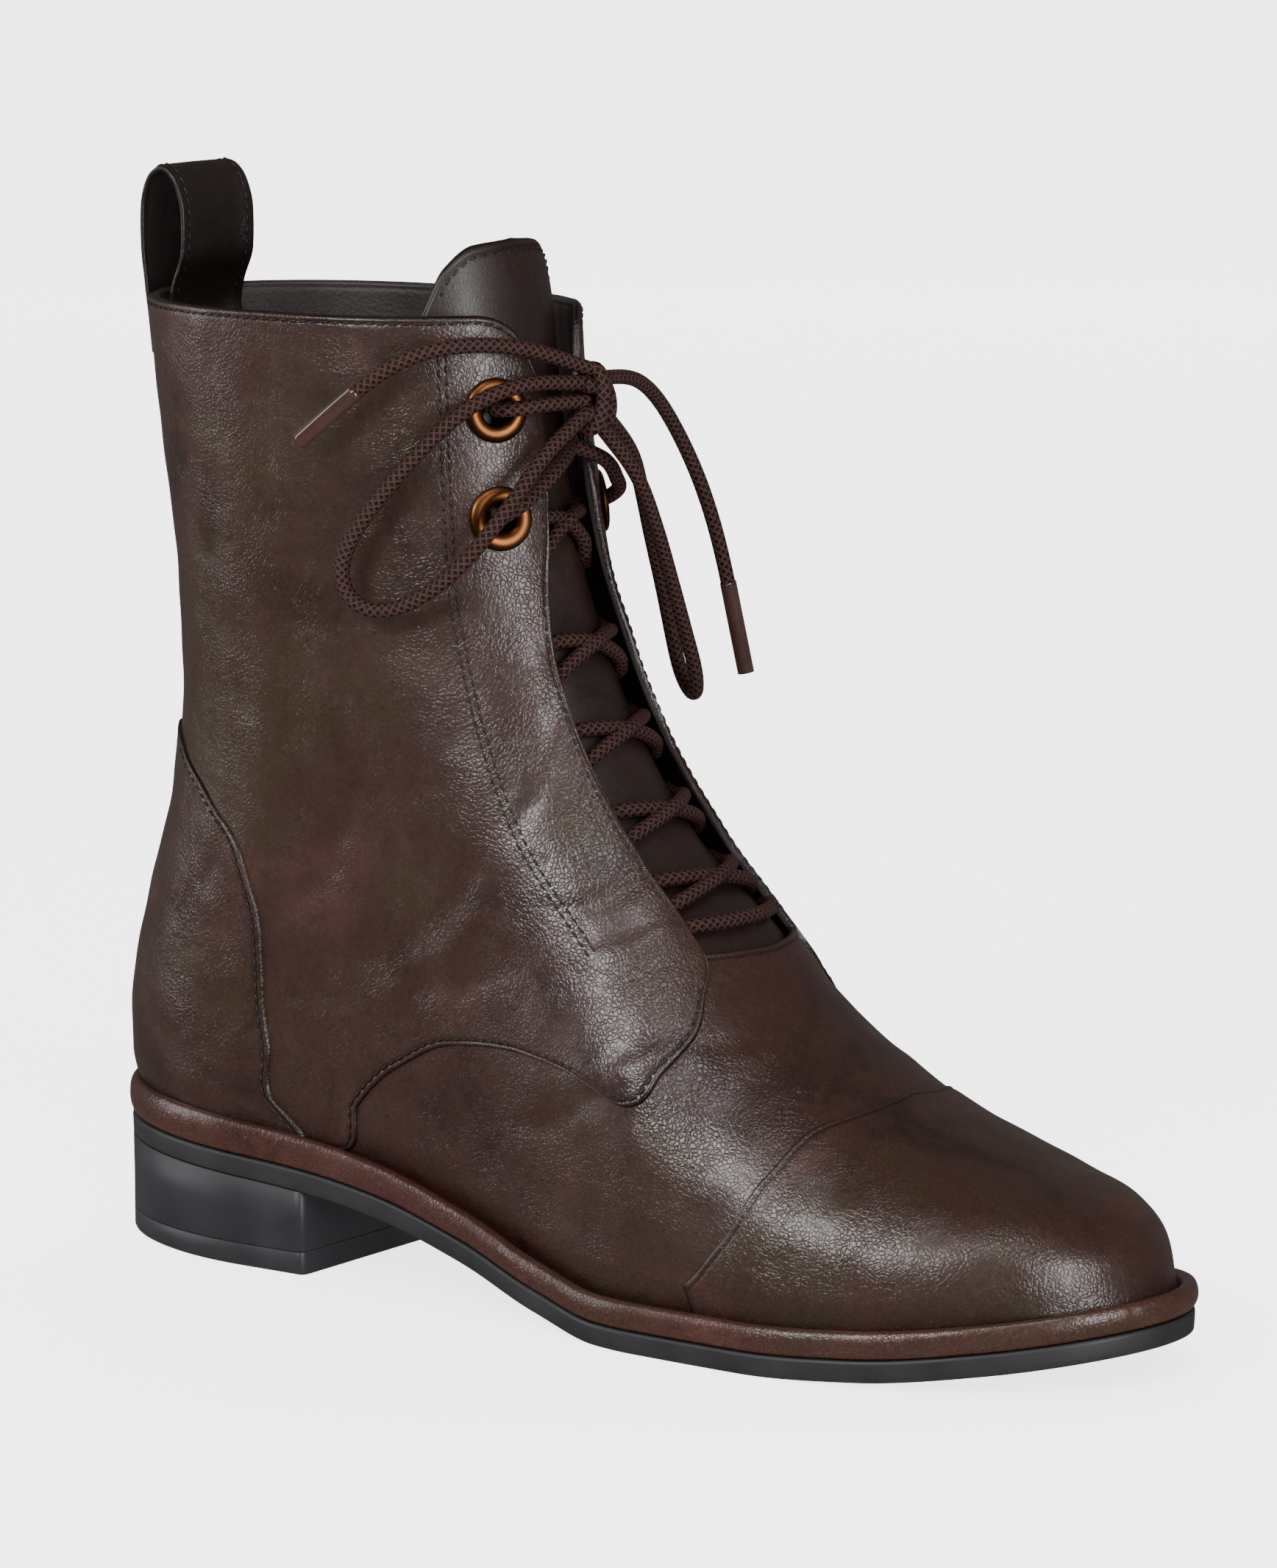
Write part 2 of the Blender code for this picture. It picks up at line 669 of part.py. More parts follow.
def make_sole(black, brown, lining):
    """Heel lift, heel block, outsole, midsole with its rounded edge, and insole."""
    edge = RAND_OVERHANG
    stacked("heel_lift", (
        (edge - 1.4 * MM, lambda x: 0 * x),
        (edge - 0.9 * MM, lambda x: 0 * x + 0.6 * MM),
        (edge - 0.7 * MM, lambda x: 0 * x + HEEL_LIFT),
    ), 14, black, HEEL_LENGTH)
    stacked("heel_block", (
        (edge - 0.9 * MM, lambda x: 0 * x + HEEL_LIFT + GAP),
        (edge - 0.7 * MM, lambda x: underside_height(x) - GAP),
    ), 14, black, HEEL_LENGTH)
    stacked("outsole", (
        (edge - 1.6 * MM, underside_height),
        (edge - 0.8 * MM, lambda x: underside_height(x) + 0.9 * MM),
        (edge - 0.6 * MM, lambda x: rand_bottom(x) - GAP),
    ), 34, black)
    top = lambda x: feather_height(x) + RAND_RISE
    stacked("midsole", (
        (edge - 1.0 * MM, rand_bottom),
        (edge - 0.2 * MM, lambda x: rand_bottom(x) + 0.22 * (top(x) - rand_bottom(x))),
        (edge, lambda x: rand_bottom(x) + 0.50 * (top(x) - rand_bottom(x))),
        (edge - 0.5 * MM, lambda x: rand_bottom(x) + 0.80 * (top(x) - rand_bottom(x))),
        (edge - 1.6 * MM, top),
        (edge - 3.0 * MM, lambda x: top(x) - 0.3 * MM),
        (SEAT_GAP, lambda x: feather_height(x) - SEAT_GAP),
    ), 34, brown)
    stacked("insole", (
        (-WALL - INSOLE_INSET, feather_height),
        (-WALL - 1.8 * INSOLE_INSET, lambda x: feather_height(x) + INSOLE_THICKNESS),
    ), 26, lining)


def make_upper(leather):
    """One hollow solid: the wall, with quarters, counter, toe cap and back strip as steps on it."""
    height = np.linspace(0, 1, WALL_ROWS) ** WALL_ROW_CROWDING
    around = np.linspace(-1, 1, WALL_COLUMNS + 1)[:-1]
    upper = sheet("upper", height[:, None], around[None, :], 0.0, -WALL, leather, closed=True)

    seam_c, seam_a = columns(FLAP_SEAM)
    across, throat_low = columns(THROAT_LOWER)
    t = np.linspace(-1, 1, 15)
    low = follow(np.abs(t), across, throat_low)
    c = low + (ABOVE_COLLAR - low) * np.linspace(0, 1, 13)[:, None]
    a = 1 + t * (1 - follow(c, seam_c, seam_a))
    throat = sheet("throat_cutter", c, a, THROAT_CUT, -THROAT_CUT, leather)
    combine(upper, throat, "DIFFERENCE")

    share, low_edge = columns(QUARTER_LOWER)
    t = both_ways(share, 0.075)
    side = np.sign(t + 1e-9)
    low = follow(np.abs(t), share, low_edge)
    bead = share_at_lift(t * way_round_front(0.2, side), RAND_RISE + PANEL_CLEAR)
    low = np.maximum(low, bead)
    share, high_edge = columns(QUARTER_UPPER)
    high = follow(np.abs(t), share, high_edge)
    c = low + (high - low) * np.linspace(0, 1, 10)[:, None]
    a = t * way_round_front(c, side)
    quarters = sheet("quarters_form", c, a, PANEL, -FLAP_INNER, leather)
    combine(upper, quarters, "UNION")

    edge_c, edge_a = columns(COUNTER_EDGE)
    t = np.linspace(-1, 1, 13)
    low = share_at_lift(t * edge_a[0], RAND_RISE + PANEL_CLEAR)
    c = low + (edge_c[-1] - low) * np.linspace(0, 1, 9)[:, None]
    a = t * follow(c, edge_c, edge_a)
    counter = sheet("counter_form", c, a, COUNTER_STEP, -PANEL_GRIP, leather)
    combine(upper, counter, "UNION")

    share, cap_c = columns(TOE_CAP_EDGE)
    t = both_ways(share, 0.11)
    high = follow(np.abs(t), share, cap_c)
    a = 1 + t * TOE_CAP_SPREAD
    low = share_at_lift(a, RAND_RISE + PANEL_CLEAR)
    c = low + (np.maximum(high, low + 0.01) - low) * np.linspace(0, 1, 7)[:, None]
    toe_cap = sheet("toe_cap_form", c, a, TOE_CAP_STEP, -PANEL_GRIP, leather)
    combine(upper, toe_cap, "UNION")

    c = np.linspace(BACKSTAY_FROM, BACKSTAY_TO, 9)[:, None]
    a = np.linspace(-1, 1, 5) * way_at_width(c[:, 0], BACKSTAY_WIDTH / 2)[:, None]
    over_counter = 1 - ease((c - 0.70) / 0.04)
    face = PANEL + (COUNTER_STEP - PANEL) * over_counter + BACKSTAY_STEP
    backstay = sheet("backstay_form", c, a, face, -PANEL_GRIP, leather)
    combine(upper, backstay, "UNION")

    c, a = zip_strip(ZIP_SLOT / 2, ZIP_FROM, ABOVE_COLLAR)
    slot = sheet("zip_slot_cutter", c, a, CUT_DEPTH, -CUT_DEPTH, leather)
    combine(upper, slot, "DIFFERENCE", "MANIFOLD")
    for name, c, a in eyelet_places():
        centre, turn = place_on_upper(c, a, 0)
        profile = ((0, -CUT_DEPTH), (EYELET_HOLE / 2, -CUT_DEPTH), (EYELET_HOLE / 2, CUT_DEPTH), (0, CUT_DEPTH))
        hole = turned("hole_of_" + name, profile, leather, centre, turn)
        combine(upper, hole, "DIFFERENCE", "MANIFOLD")
    return upper


def tongue_depth(c):
    """Depth of the tongue's outer face under the upper's outer face."""
    return TONGUE_FOOT_DEPTH + (TONGUE_DEPTH - TONGUE_FOOT_DEPTH) * ease((c - 0.50) / 0.11)


def make_tongue(leather):
    """Tongue under the flaps, from below the throat to above the collar."""
    share, top = columns(TONGUE_UPPER)
    t = np.linspace(-1, 1, 13)
    high = follow(np.abs(t), share, top)
    c = TONGUE_FROM + (high - TONGUE_FROM) * np.linspace(0, 1, 14)[:, None]
    a = 1 + t * TONGUE_SPREAD
    depth = tongue_depth(c)
    return sheet("tongue", c, a, -depth, -depth - TONGUE_THICKNESS, leather)


def place_on_upper(c, a, level):
    """Centre on the upper and the turn whose x runs round the boot, y up along it and z outward."""
    centre = Vector(at_level(c, a, level)) - CENTRE
    out = Vector(outward(c, a))
    up = Vector(last_point(c + 0.01, a) - last_point(c - 0.01, a))
    up = (up - out * up.dot(out)).normalized()
    along = up.cross(out)
    turn = Matrix((along, up, out)).transposed()
    return centre, turn


def turned(name, profile, look, centre, turn, sides=12):
    """Solid of revolution about a place's outward direction; the profile holds radius and height.

    A profile that starts on the axis is closed there at both ends; any other is a ring round the axis.
    """
    bm = bmesh.new()
    rings = []
    for radius, height in profile:
        count = sides if radius > 0 else 1
        rings.append([bm.verts.new((radius * np.cos(2 * pi * k / sides), radius * np.sin(2 * pi * k / sides),
                                    height)) for k in range(count)])
    following = rings[1:] + rings[:1] if profile[0][0] > 0 else rings[1:]
    for low, high in zip(rings, following):
        for k in range(sides):
            corners = (low[k % len(low)], low[(k + 1) % len(low)], high[(k + 1) % len(high)], high[k % len(high)])
            bm.faces.new(dict.fromkeys(corners))
    place = turn.to_4x4()
    place.translation = centre + CENTRE
    bmesh.ops.transform(bm, matrix=place, verts=bm.verts[:])
    return new_object(name, bm, look)


def eyelet_places():
    """Name, height share and way round of each eyelet."""
    for number, c, a in EYELETS:
        yield "eyelet_outer_" + number, c, -a
        yield "eyelet_inner_" + number, c, a - INNER_EYELET_SHIFT


def make_eyelets(copper):
    """Rolled rim on the flap with a barrel through it."""
    seat = PANEL + GAP
    barrel = EYELET_BARREL / 2
    rim = EYELET_SIZE / 2
    bore = EYELET_BORE / 2
    profile = (
        (bore, -FLAP_INNER),
        (barrel, -FLAP_INNER),
        (barrel, seat),
        (rim, seat),
        (rim, seat + 0.5 * EYELET_RIM),
        ((rim + bore) / 2, seat + EYELET_RIM),
        (bore, seat + 0.5 * EYELET_RIM),
    )
    for name, c, a in eyelet_places():
        centre, turn = place_on_upper(c, a, 0)
        turned(name, profile, copper, centre, turn)


def tube(name, path, radius, look, sides=7):
    """Round strand along a path of points, with flat ends."""
    bm = bmesh.new()
    path = [Vector(point) for point in path]
    side = None
    rings = []
    for i, point in enumerate(path):
        ahead = (path[min(i + 1, len(path) - 1)] - path[max(i - 1, 0)]).normalized()
        if side is None:
            side = ahead.orthogonal().normalized()
        side = (side - ahead * side.dot(ahead)).normalized()
        other = ahead.cross(side)
        rings.append([bm.verts.new(point + side * float(radius * np.cos(2 * pi * k / sides))
                                   + other * float(radius * np.sin(2 * pi * k / sides)))
                      for k in range(sides)])
    for low, high in zip(rings[:-1], rings[1:]):
        for k in range(sides):
            bm.faces.new((low[k], low[(k + 1) % sides], high[(k + 1) % sides], high[k]))
    bm.faces.new(rings[0])
    bm.faces.new(rings[-1])
    return new_object(name, bm, look)


def make_lacing(lace):
    """Crossings and the bottom bar between the flaps, on the tongue, and the crossing over the flaps."""
    def on_tongue(c, a):
        return at_level(c, a, -tongue_depth(c) + TONGUE_ROOM + LACE / 2)

    for number, row in enumerate(LACE_ROWS, start=1):
        start = -float(way_round_front(row, -1)) - EDGE_ROOM
        end = -2 + float(way_round_front(row, 1)) + EDGE_ROOM
        a = np.linspace(start, end, 7)
        spread = ROW_SPREAD * np.linspace(-1, 1, 7)
        name = "lace_crossing_" + str(number)
        first = tube(name, on_tongue(row + spread, a), LACE / 2, lace)
        second = tube(name + "_strand", on_tongue(row - spread, a), LACE / 2, lace)
        combine(first, second, "UNION")
    start = -float(way_round_front(LACE_BAR, -1)) - EDGE_ROOM
    end = -2 + float(way_round_front(LACE_BAR, 1)) + EDGE_ROOM
    a = np.linspace(start, end, 9)
    tube("lace_bar", on_tongue(np.full(9, LACE_BAR), a), LACE / 2, lace)

    c, a, level = columns(TOP_CROSSING)
    first = tube("lace_crossing_top", at_level(c, -a, level * MM), LACE / 2, lace)
    second = tube("lace_crossing_top_strand", at_level(c, a - INNER_EYELET_SHIFT, level * MM), LACE / 2, lace)
    combine(first, second, "UNION")


def at_knot(height, toward):
    """Point beside the knot, at a height, where a strand that comes from another point meets it."""
    knot = np.array(KNOT)
    up = max(abs(height - knot[2]) - LACE / MM / 2, 0)
    reach = KNOT_SIZE[0] * np.sqrt(1 - (up / KNOT_SIZE[2]) ** 2) + GAP / MM
    way = np.array(toward)[:2] - knot[:2]
    place = knot[:2] + reach * way / np.linalg.norm(way)
    return (*place, height)


def route_points(points):
    """The route's points on the boot, with a height at the knot turned into a point there."""
    points = list(points)
    if np.isscalar(points[0]):
        points[0] = at_knot(points[0], points[1])
    if np.isscalar(points[-1]):
        points[-1] = at_knot(points[-1], points[-2])
    return last_point(BOW_AT, 1.0) + np.array(points) * MM


def smooth_route(points, step):
    """Points step apart on a smooth curve through the route's own points."""
    points = route_points(points)
    way = np.concatenate(([0.0], np.cumsum(np.linalg.norm(np.diff(points, axis=0), axis=1))))
    slope = np.gradient(points, way, axis=0)
    parts = max(2, int(round(way[-1] / step)))
    at = np.linspace(0, way[-1], parts + 1)
    i = np.clip(np.searchsorted(way, at) - 1, 0, len(way) - 2)
    span = (way[i + 1] - way[i])[:, None]
    t = ((at - way[i])[:, None]) / span
    return ((2 * t**3 - 3 * t**2 + 1) * points[i] + (t**3 - 2 * t**2 + t) * span * slope[i]
            + (3 * t**2 - 2 * t**3) * points[i + 1] + (t**3 - t**2) * span * slope[i + 1])


def cord(name, points, diameter, look):
    """Cord that lies free: a curve with a round section and closed ends."""
    route = smooth_route(points, 2.3 * LACE)
    curve = bpy.data.curves.new(name, "CURVE")
    curve.dimensions = "3D"
    curve.bevel_depth = diameter / 2
    curve.bevel_resolution = 2
    curve.use_fill_caps = True
    spline = curve.splines.new("POLY")
    spline.points.add(len(route) - 1)
    for point, place in zip(spline.points, route):
        point.co = (*(Vector(place) - CENTRE), 1)
    curve.materials.append(look)
    made = bpy.data.objects.new(name, curve)
    bpy.context.scene.collection.objects.link(made)


def make_bow(lace, clear_tip):
    """Knot, two loops, two ends with their tips, and the strands from the top eyelets to the knot."""
    bm = bmesh.new()
    bmesh.ops.create_icosphere(bm, subdivisions=2, radius=1.0)
    bmesh.ops.scale(bm, vec=Vector(KNOT_SIZE) * MM, verts=bm.verts[:])
    bmesh.ops.translate(bm, vec=Vector(route_points([KNOT])[0]), verts=bm.verts[:])
    new_object("lace_knot", bm, lace)
    for name, points in TOP_STRANDS.items():
        tube(name, smooth_route(points, 0.9 * LACE), LACE / 2, lace)
    for name, points in CORDS.items():
        cord(name, points, LACE, lace)
    for name, points in AGLETS.items():
        cord(name, points, AGLET, clear_tip)


def make_pull_loop(leather):
    """Strap at the back, its ends outside and inside the collar's back wall."""
    back, over = columns(PULL_LOOP_LINE)
    way = np.arange(len(back))
    at = np.linspace(0, way[-1], 21)
    dx = follow(at, way, back) * PULL_LOOP_HEIGHT
    dz = follow(at, way, over) * PULL_LOOP_HEIGHT
    up, leg_share = columns(LEG_WIDTHS)
    base = LEG_WIDTH * follow(1.0, up, leg_share)
    y = np.linspace(-0.5, 0.5, 5) * PULL_LOOP_WIDTH
    curve = BACK_ROUND * (1 - np.sqrt(1 - (y / base) ** 2))
    hug = 1 - 0.6 * ease(dz / PULL_LOOP_HEIGHT)
    middle_x = back_x(COLLAR_HEIGHT + np.minimum(dz, 0)) + dx
    slope_x = np.gradient(dx)
    slope_z = np.gradient(dz)
    size = np.hypot(slope_x, slope_z)
    faces = []
    for side in (1, -1):
        shift = side * PULL_LOOP_THICKNESS / 2
        x = (middle_x - shift * slope_z / size)[:, None] + hug[:, None] * curve[None, :]
        z = np.broadcast_to((COLLAR_HEIGHT + dz + shift * slope_x / size)[:, None], x.shape)
        faces.append(np.stack([x, np.broadcast_to(y, x.shape), z], axis=-1))
    new_object("pull_loop", layer(faces[0], faces[1]), leather)


def zip_strip(half_width_of_strip, low, high, rows=14, cols=3):
    """Grids of c and a for a strip of even width along the zip."""
    c = np.linspace(low, high, rows)[:, None]
    line_c, line_a = columns(ZIP_LINE)
    depth = last_point(c, np.ones_like(c))[..., 0] - last_point(c, np.zeros_like(c))[..., 0]
    spread = half_width_of_strip / (pi / 2 * depth)
    a = follow(c, line_c, line_a) + spread * np.linspace(-1, 1, cols)[None, :]
    return np.broadcast_arrays(c, a)


def box(bm, low, high):
    """Box between two corners, added to a bmesh."""
    low, high = Vector(low), Vector(high)
    made = bmesh.ops.create_cube(bm, size=1.0)
    bmesh.ops.scale(bm, vec=high - low, verts=made["verts"])
    bmesh.ops.translate(bm, vec=(high + low) / 2, verts=made["verts"])
    return made["verts"]


def boxed(name, low, high, look, place):
    """Box given in a place's own frame, as an object."""
    bm = bmesh.new()
    box(bm, low, high)
    bmesh.ops.transform(bm, matrix=place, verts=bm.verts[:])
    return new_object(name, bm, look)


def make_zip(tape_look, metal):
    """Tape and coil in the slot, the slider near the collar and its pull."""
    low = ZIP_FROM + ZIP_END_ROOM
    high = 1.0 - ZIP_END_ROOM
    c, a = zip_strip(ZIP_SLOT / 2 - 1.3 * GAP, low, high)
    sheet("zip_tape", c, a, -TAPE_DEPTH, -WALL, tape_look)
    c, a = zip_strip(COIL_WIDTH / 2, low, high)
    sheet("zip_coil", c, a, PANEL, GAP - TAPE_DEPTH, tape_look)

    line_c, line_a = columns(ZIP_LINE)
    way = float(follow(SLIDER_AT, line_c, line_a))
    centre, turn = place_on_upper(SLIDER_AT, way, PANEL + SEAT_GAP)
    place = turn.to_4x4()
    place.translation = centre + CENTRE
    half_w, half_l = SLIDER_WIDTH / 2, SLIDER_LENGTH / 2
    roof = SLIDER_HEIGHT + BRIDGE_ROOM
    slider = boxed("zip_slider", (-half_w, -half_l, 0), (half_w, half_l, SLIDER_HEIGHT), metal, place)
    bridge = boxed("slider_bridge_form", (-BRIDGE_WIDTH / 2, -BRIDGE_LENGTH / 2, SLIDER_HEIGHT / 2),
                   (BRIDGE_WIDTH / 2, BRIDGE_LENGTH / 2, roof + BRIDGE_ROOF), metal, place)
    combine(slider, bridge, "UNION")
    inside = BRIDGE_LENGTH / 2 - BRIDGE_POST
    opening = boxed("slider_bridge_cutter", (-BRIDGE_WIDTH, -inside, SLIDER_HEIGHT),
                    (BRIDGE_WIDTH, inside, roof), metal, place)
    combine(slider, opening, "DIFFERENCE")

    axis = Vector((0, 0, SLIDER_HEIGHT + BRIDGE_ROOM / 2))
    thick = PULL_THICKNESS / 2
    half_pull = PULL_WIDTH / 2
    window = BRIDGE_WIDTH / 2 + PULL_WINDOW_ROOM
    pull = boxed("zip_pull", (-half_pull, -PULL_LENGTH, -thick), (half_pull, thick, thick), metal, Matrix())
    hole = boxed("pull_window_cutter", (-window, -thick - PULL_WINDOW, -3 * thick), (window, -thick, 3 * thick),
                 metal, Matrix())
    combine(pull, hole, "DIFFERENCE")
    for piece in (pull, hole):
        piece.data.transform(Matrix.Translation(CENTRE))
        piece.rotation_euler = turn.to_euler()
        piece.location = centre + turn @ axis


CENTRE = Vector((0, 0, 0))
CENTRE = sole_middle()
BROWN = material("brown_leather", (0.055, 0.022, 0.016), 0.38)
TONGUE_BROWN = material("tongue_leather", (0.075, 0.045, 0.036), 0.55)
RAND_BROWN = material("rand_leather", (0.070, 0.030, 0.022), 0.45)
BLACK = material("black_rubber", (0.010, 0.010, 0.011), 0.75)
LINING = material("lining", (0.020, 0.014, 0.012), 0.9)
COPPER = material("copper", (0.55, 0.27, 0.12), 0.3, 1.0)
LACE_BROWN = material("lace_cord", (0.050, 0.022, 0.018), 0.7)
CLEAR_TIP = material("clear_tip", (0.080, 0.045, 0.038), 0.15)
ZIP_BLACK = material("zip_tape", (0.012, 0.010, 0.010), 0.8)
GUNMETAL = material("gunmetal", (0.045, 0.045, 0.050), 0.35, 0.9)
make_sole(BLACK, RAND_BROWN, LINING)
make_upper(BROWN)
make_tongue(TONGUE_BROWN)
make_eyelets(COPPER)
make_lacing(LACE_BROWN)
make_bow(LACE_BROWN, CLEAR_TIP)
make_pull_loop(BROWN)
make_zip(ZIP_BLACK, GUNMETAL)
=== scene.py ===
# %% [markdown]
# A lace-up ankle boot for the right foot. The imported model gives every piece's place and size; this file
# makes the surfaces that the eye sees: leather panels with folded edges and stitches, a braided lace, worn
# copper eyelets, the zip on the inner side and the black sole. Units are metres, the toe points to +X, the
# inner side is +Y and the floor is at z = 0.

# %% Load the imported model
import json
from math import pi, radians

import bpy
import numpy as np
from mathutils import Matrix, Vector

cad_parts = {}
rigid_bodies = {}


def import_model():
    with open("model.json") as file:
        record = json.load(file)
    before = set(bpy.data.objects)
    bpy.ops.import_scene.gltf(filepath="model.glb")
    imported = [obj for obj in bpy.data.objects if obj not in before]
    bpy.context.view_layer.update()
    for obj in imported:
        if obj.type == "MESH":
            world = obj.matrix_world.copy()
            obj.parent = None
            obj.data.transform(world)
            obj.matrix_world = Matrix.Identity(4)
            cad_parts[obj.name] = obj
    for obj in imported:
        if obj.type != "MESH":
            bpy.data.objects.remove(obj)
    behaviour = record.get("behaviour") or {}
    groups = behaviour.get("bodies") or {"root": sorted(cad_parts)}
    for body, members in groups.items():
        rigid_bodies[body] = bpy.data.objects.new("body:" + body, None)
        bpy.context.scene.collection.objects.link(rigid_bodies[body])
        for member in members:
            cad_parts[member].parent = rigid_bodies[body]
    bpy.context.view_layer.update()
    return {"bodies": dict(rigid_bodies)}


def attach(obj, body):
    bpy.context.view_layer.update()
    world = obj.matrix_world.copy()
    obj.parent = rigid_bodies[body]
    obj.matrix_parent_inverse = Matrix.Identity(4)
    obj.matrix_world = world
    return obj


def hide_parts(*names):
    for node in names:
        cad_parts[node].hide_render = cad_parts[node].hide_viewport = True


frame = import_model()
BOOT = "boot" if "boot" in frame["bodies"] else "root"

# %% [markdown]
# The boot's form is one surface over a last, the wooden foot that a shoe is built on. The same named sizes
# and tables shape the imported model, so a panel worked out here lies exactly where its solid is.

# %% Sizes of the last, the sole and the leather
MM = 0.001
GAP = 0.3 * MM                   # air kept between neighbouring pieces
SEAT_GAP = 0.5 * MM              # the same between curved pieces whose facets differ

# Sizes of the last
FOOT_LENGTH = 255 * MM           # from the back of the heel to the toe, where the upper meets the sole
BALL_WIDTH = 88 * MM
HEEL_RISE = 21.5 * MM            # height of the heel under the sole's back end
TOE_SPRING = 7 * MM
INSTEP_HEIGHT = 87 * MM          # from the ball's feather line to the bottom of the throat
SHAFT_HEIGHT = 110 * MM          # from the bottom of the throat to the collar
LEG_WIDTH = 68 * MM

# Sizes of the sole
OUTSOLE_THICKNESS = 4.6 * MM
PLATE_FORE = 3.0 * MM            # midsole under the forefoot
PLATE_HEEL = 5.0 * MM            # midsole under the heel
RAND_OVERHANG = 4.5 * MM
RAND_RISE = 2.2 * MM             # how far the rounded edge stands above the feather line
HEEL_LENGTH = 62 * MM
HEEL_LIFT = 5.0 * MM
INSOLE_THICKNESS = 2.5 * MM
INSOLE_INSET = 1.7 * MM          # room between the insole's edge and the wall

# Leather
WALL = 1.8 * MM
PANEL = 0.9 * MM                 # how far a quarter, the toe cap or the counter stands out

# Roundness of the surface
BACK_ROUND = 46 * MM
TOE_ROUND = 60 * MM
SHAFT_ROUND = 50 * MM
TOP_ROUND = 58 * MM
FULLNESS = 2.4
CORNER_BLEND = 4.0
FEATHER_TUCK = 1.2 * MM
TUCK_HEIGHT = 9 * MM

print("foot", round(FOOT_LENGTH / MM), "mm, shaft", round(SHAFT_HEIGHT / MM), "mm over the instep")

# %% [markdown]
# A last could be sculpted or scanned. Short tables of shares are used instead: each row is a place along the
# foot or up the leg, so the form can be read, checked against a shoe and changed by the named sizes.

# %% Tables of the last
# Height of the sole's underside: share of FOOT_LENGTH, share of HEEL_RISE, share of TOE_SPRING
UNDERSIDE = (
    (-0.02, 1.00, 0.00),
    (0.10, 0.95, 0.00),
    (0.23, 0.86, 0.00),
    (0.32, 0.72, 0.00),
    (0.42, 0.42, 0.00),
    (0.50, 0.16, 0.00),
    (0.58, 0.00, 0.00),
    (0.73, 0.00, 0.00),
    (0.82, 0.00, 0.13),
    (0.92, 0.00, 0.56),
    (1.02, 0.00, 1.16),
)

# Half widths at the feather line: share of FOOT_LENGTH, then outer and inner side as shares of BALL_WIDTH
FOOT_WIDTHS = (
    (0.00, 0.335, 0.335),
    (0.12, 0.340, 0.335),
    (0.26, 0.335, 0.305),
    (0.40, 0.355, 0.280),
    (0.52, 0.430, 0.350),
    (0.62, 0.495, 0.440),
    (0.72, 0.500, 0.485),
    (0.82, 0.465, 0.470),
    (0.92, 0.420, 0.420),
    (1.00, 0.390, 0.380),
)

# Half widths of the leg: share of the height from heel seat to collar, share of LEG_WIDTH
LEG_WIDTHS = (
    (0.00, 0.45),
    (0.25, 0.46),
    (0.48, 0.47),
    (0.75, 0.50),
    (1.00, 0.52),
    (1.25, 0.52),
)

# Back line: share of the height from heel seat to collar, share of FOOT_LENGTH
BACK_LINE = (
    (0.00, 0.000),
    (0.05, -0.008),
    (0.10, -0.009),
    (0.26, 0.015),
    (0.40, 0.043),
    (0.52, 0.052),
    (0.66, 0.049),
    (0.84, 0.035),
    (1.00, 0.022),
    (1.25, 0.004),
)

# Front line from toe to collar: share of FOOT_LENGTH, share of INSTEP_HEIGHT, share of SHAFT_HEIGHT
FRONT_LINE = (
    (1.000, 0.000, 0.000),
    (0.987, 0.120, 0.000),
    (0.950, 0.230, 0.000),
    (0.870, 0.340, 0.000),
    (0.770, 0.475, 0.000),
    (0.690, 0.620, 0.000),
    (0.650, 0.730, 0.000),
    (0.610, 0.870, 0.000),
    (0.570, 1.000, 0.000),
    (0.508, 1.000, 0.180),
    (0.465, 1.000, 0.364),
    (0.437, 1.000, 0.545),
    (0.420, 1.000, 0.773),
    (0.409, 1.000, 1.000),
    (0.405, 1.000, 1.210),
    (0.402, 1.000, 1.700),
)
BACK_CROWDING = 2.3              # rings lie closer together low on the heel
FRONT_CROWDING = 1.15
LEVEL_RINGS_FROM = 0.55          # above this share the rings are straight from the side
print("front line", len(FRONT_LINE), "places, back line", len(BACK_LINE))

# %% [markdown]
# A shoe's lines are fair curves. Straight steps between a table's rows would show as facets, and a free
# spline would swell between them, so the rows are joined by cubic pieces that never overshoot.

# %% Reading a table as a smooth curve
def columns(table):
    """The table's columns as arrays."""
    return np.array(table, dtype=float).T


def follow(at, knots, values):
    """Smooth curve through a table's rows that never overshoots between them."""
    at = np.asarray(at, dtype=float)
    span = np.diff(knots)
    slope = np.diff(values) / span
    tangent = np.zeros(len(values))
    tangent[0] = slope[0]
    tangent[-1] = slope[-1]
    before = 2 * span[1:] + span[:-1]
    after = span[1:] + 2 * span[:-1]
    for i in range(len(slope) - 1):
        if slope[i] * slope[i + 1] > 0:
            tangent[i + 1] = (before[i] + after[i]) / (before[i] / slope[i] + after[i] / slope[i + 1])
    at = np.clip(at, knots[0], knots[-1])
    i = np.clip(np.searchsorted(knots, at) - 1, 0, len(span) - 1)
    t = (at - np.asarray(knots)[i]) / span[i]
    start, end = np.asarray(values)[i], np.asarray(values)[i + 1]
    return ((2 * t**3 - 3 * t**2 + 1) * start + (t**3 - 2 * t**2 + t) * span[i] * tangent[i]
            + (3 * t**2 - 2 * t**3) * end + (t**3 - t**2) * span[i] * tangent[i + 1])


def ease(t):
    """0 below 0, 1 above 1, smooth between."""
    t = np.clip(t, 0.0, 1.0)
    return t * t * (3 - 2 * t)


print("leg's width a third of the way up:", round(float(follow(0.33, *columns(LEG_WIDTHS))), 3))

# %% [markdown]
# The sole rises under the heel and at the toe. Heights are worked out from the floor up, because the last
# stands on them. Its half width follows from the foot's widths below and the leg's above, and closes round
# the back, the front and the top of the instep.

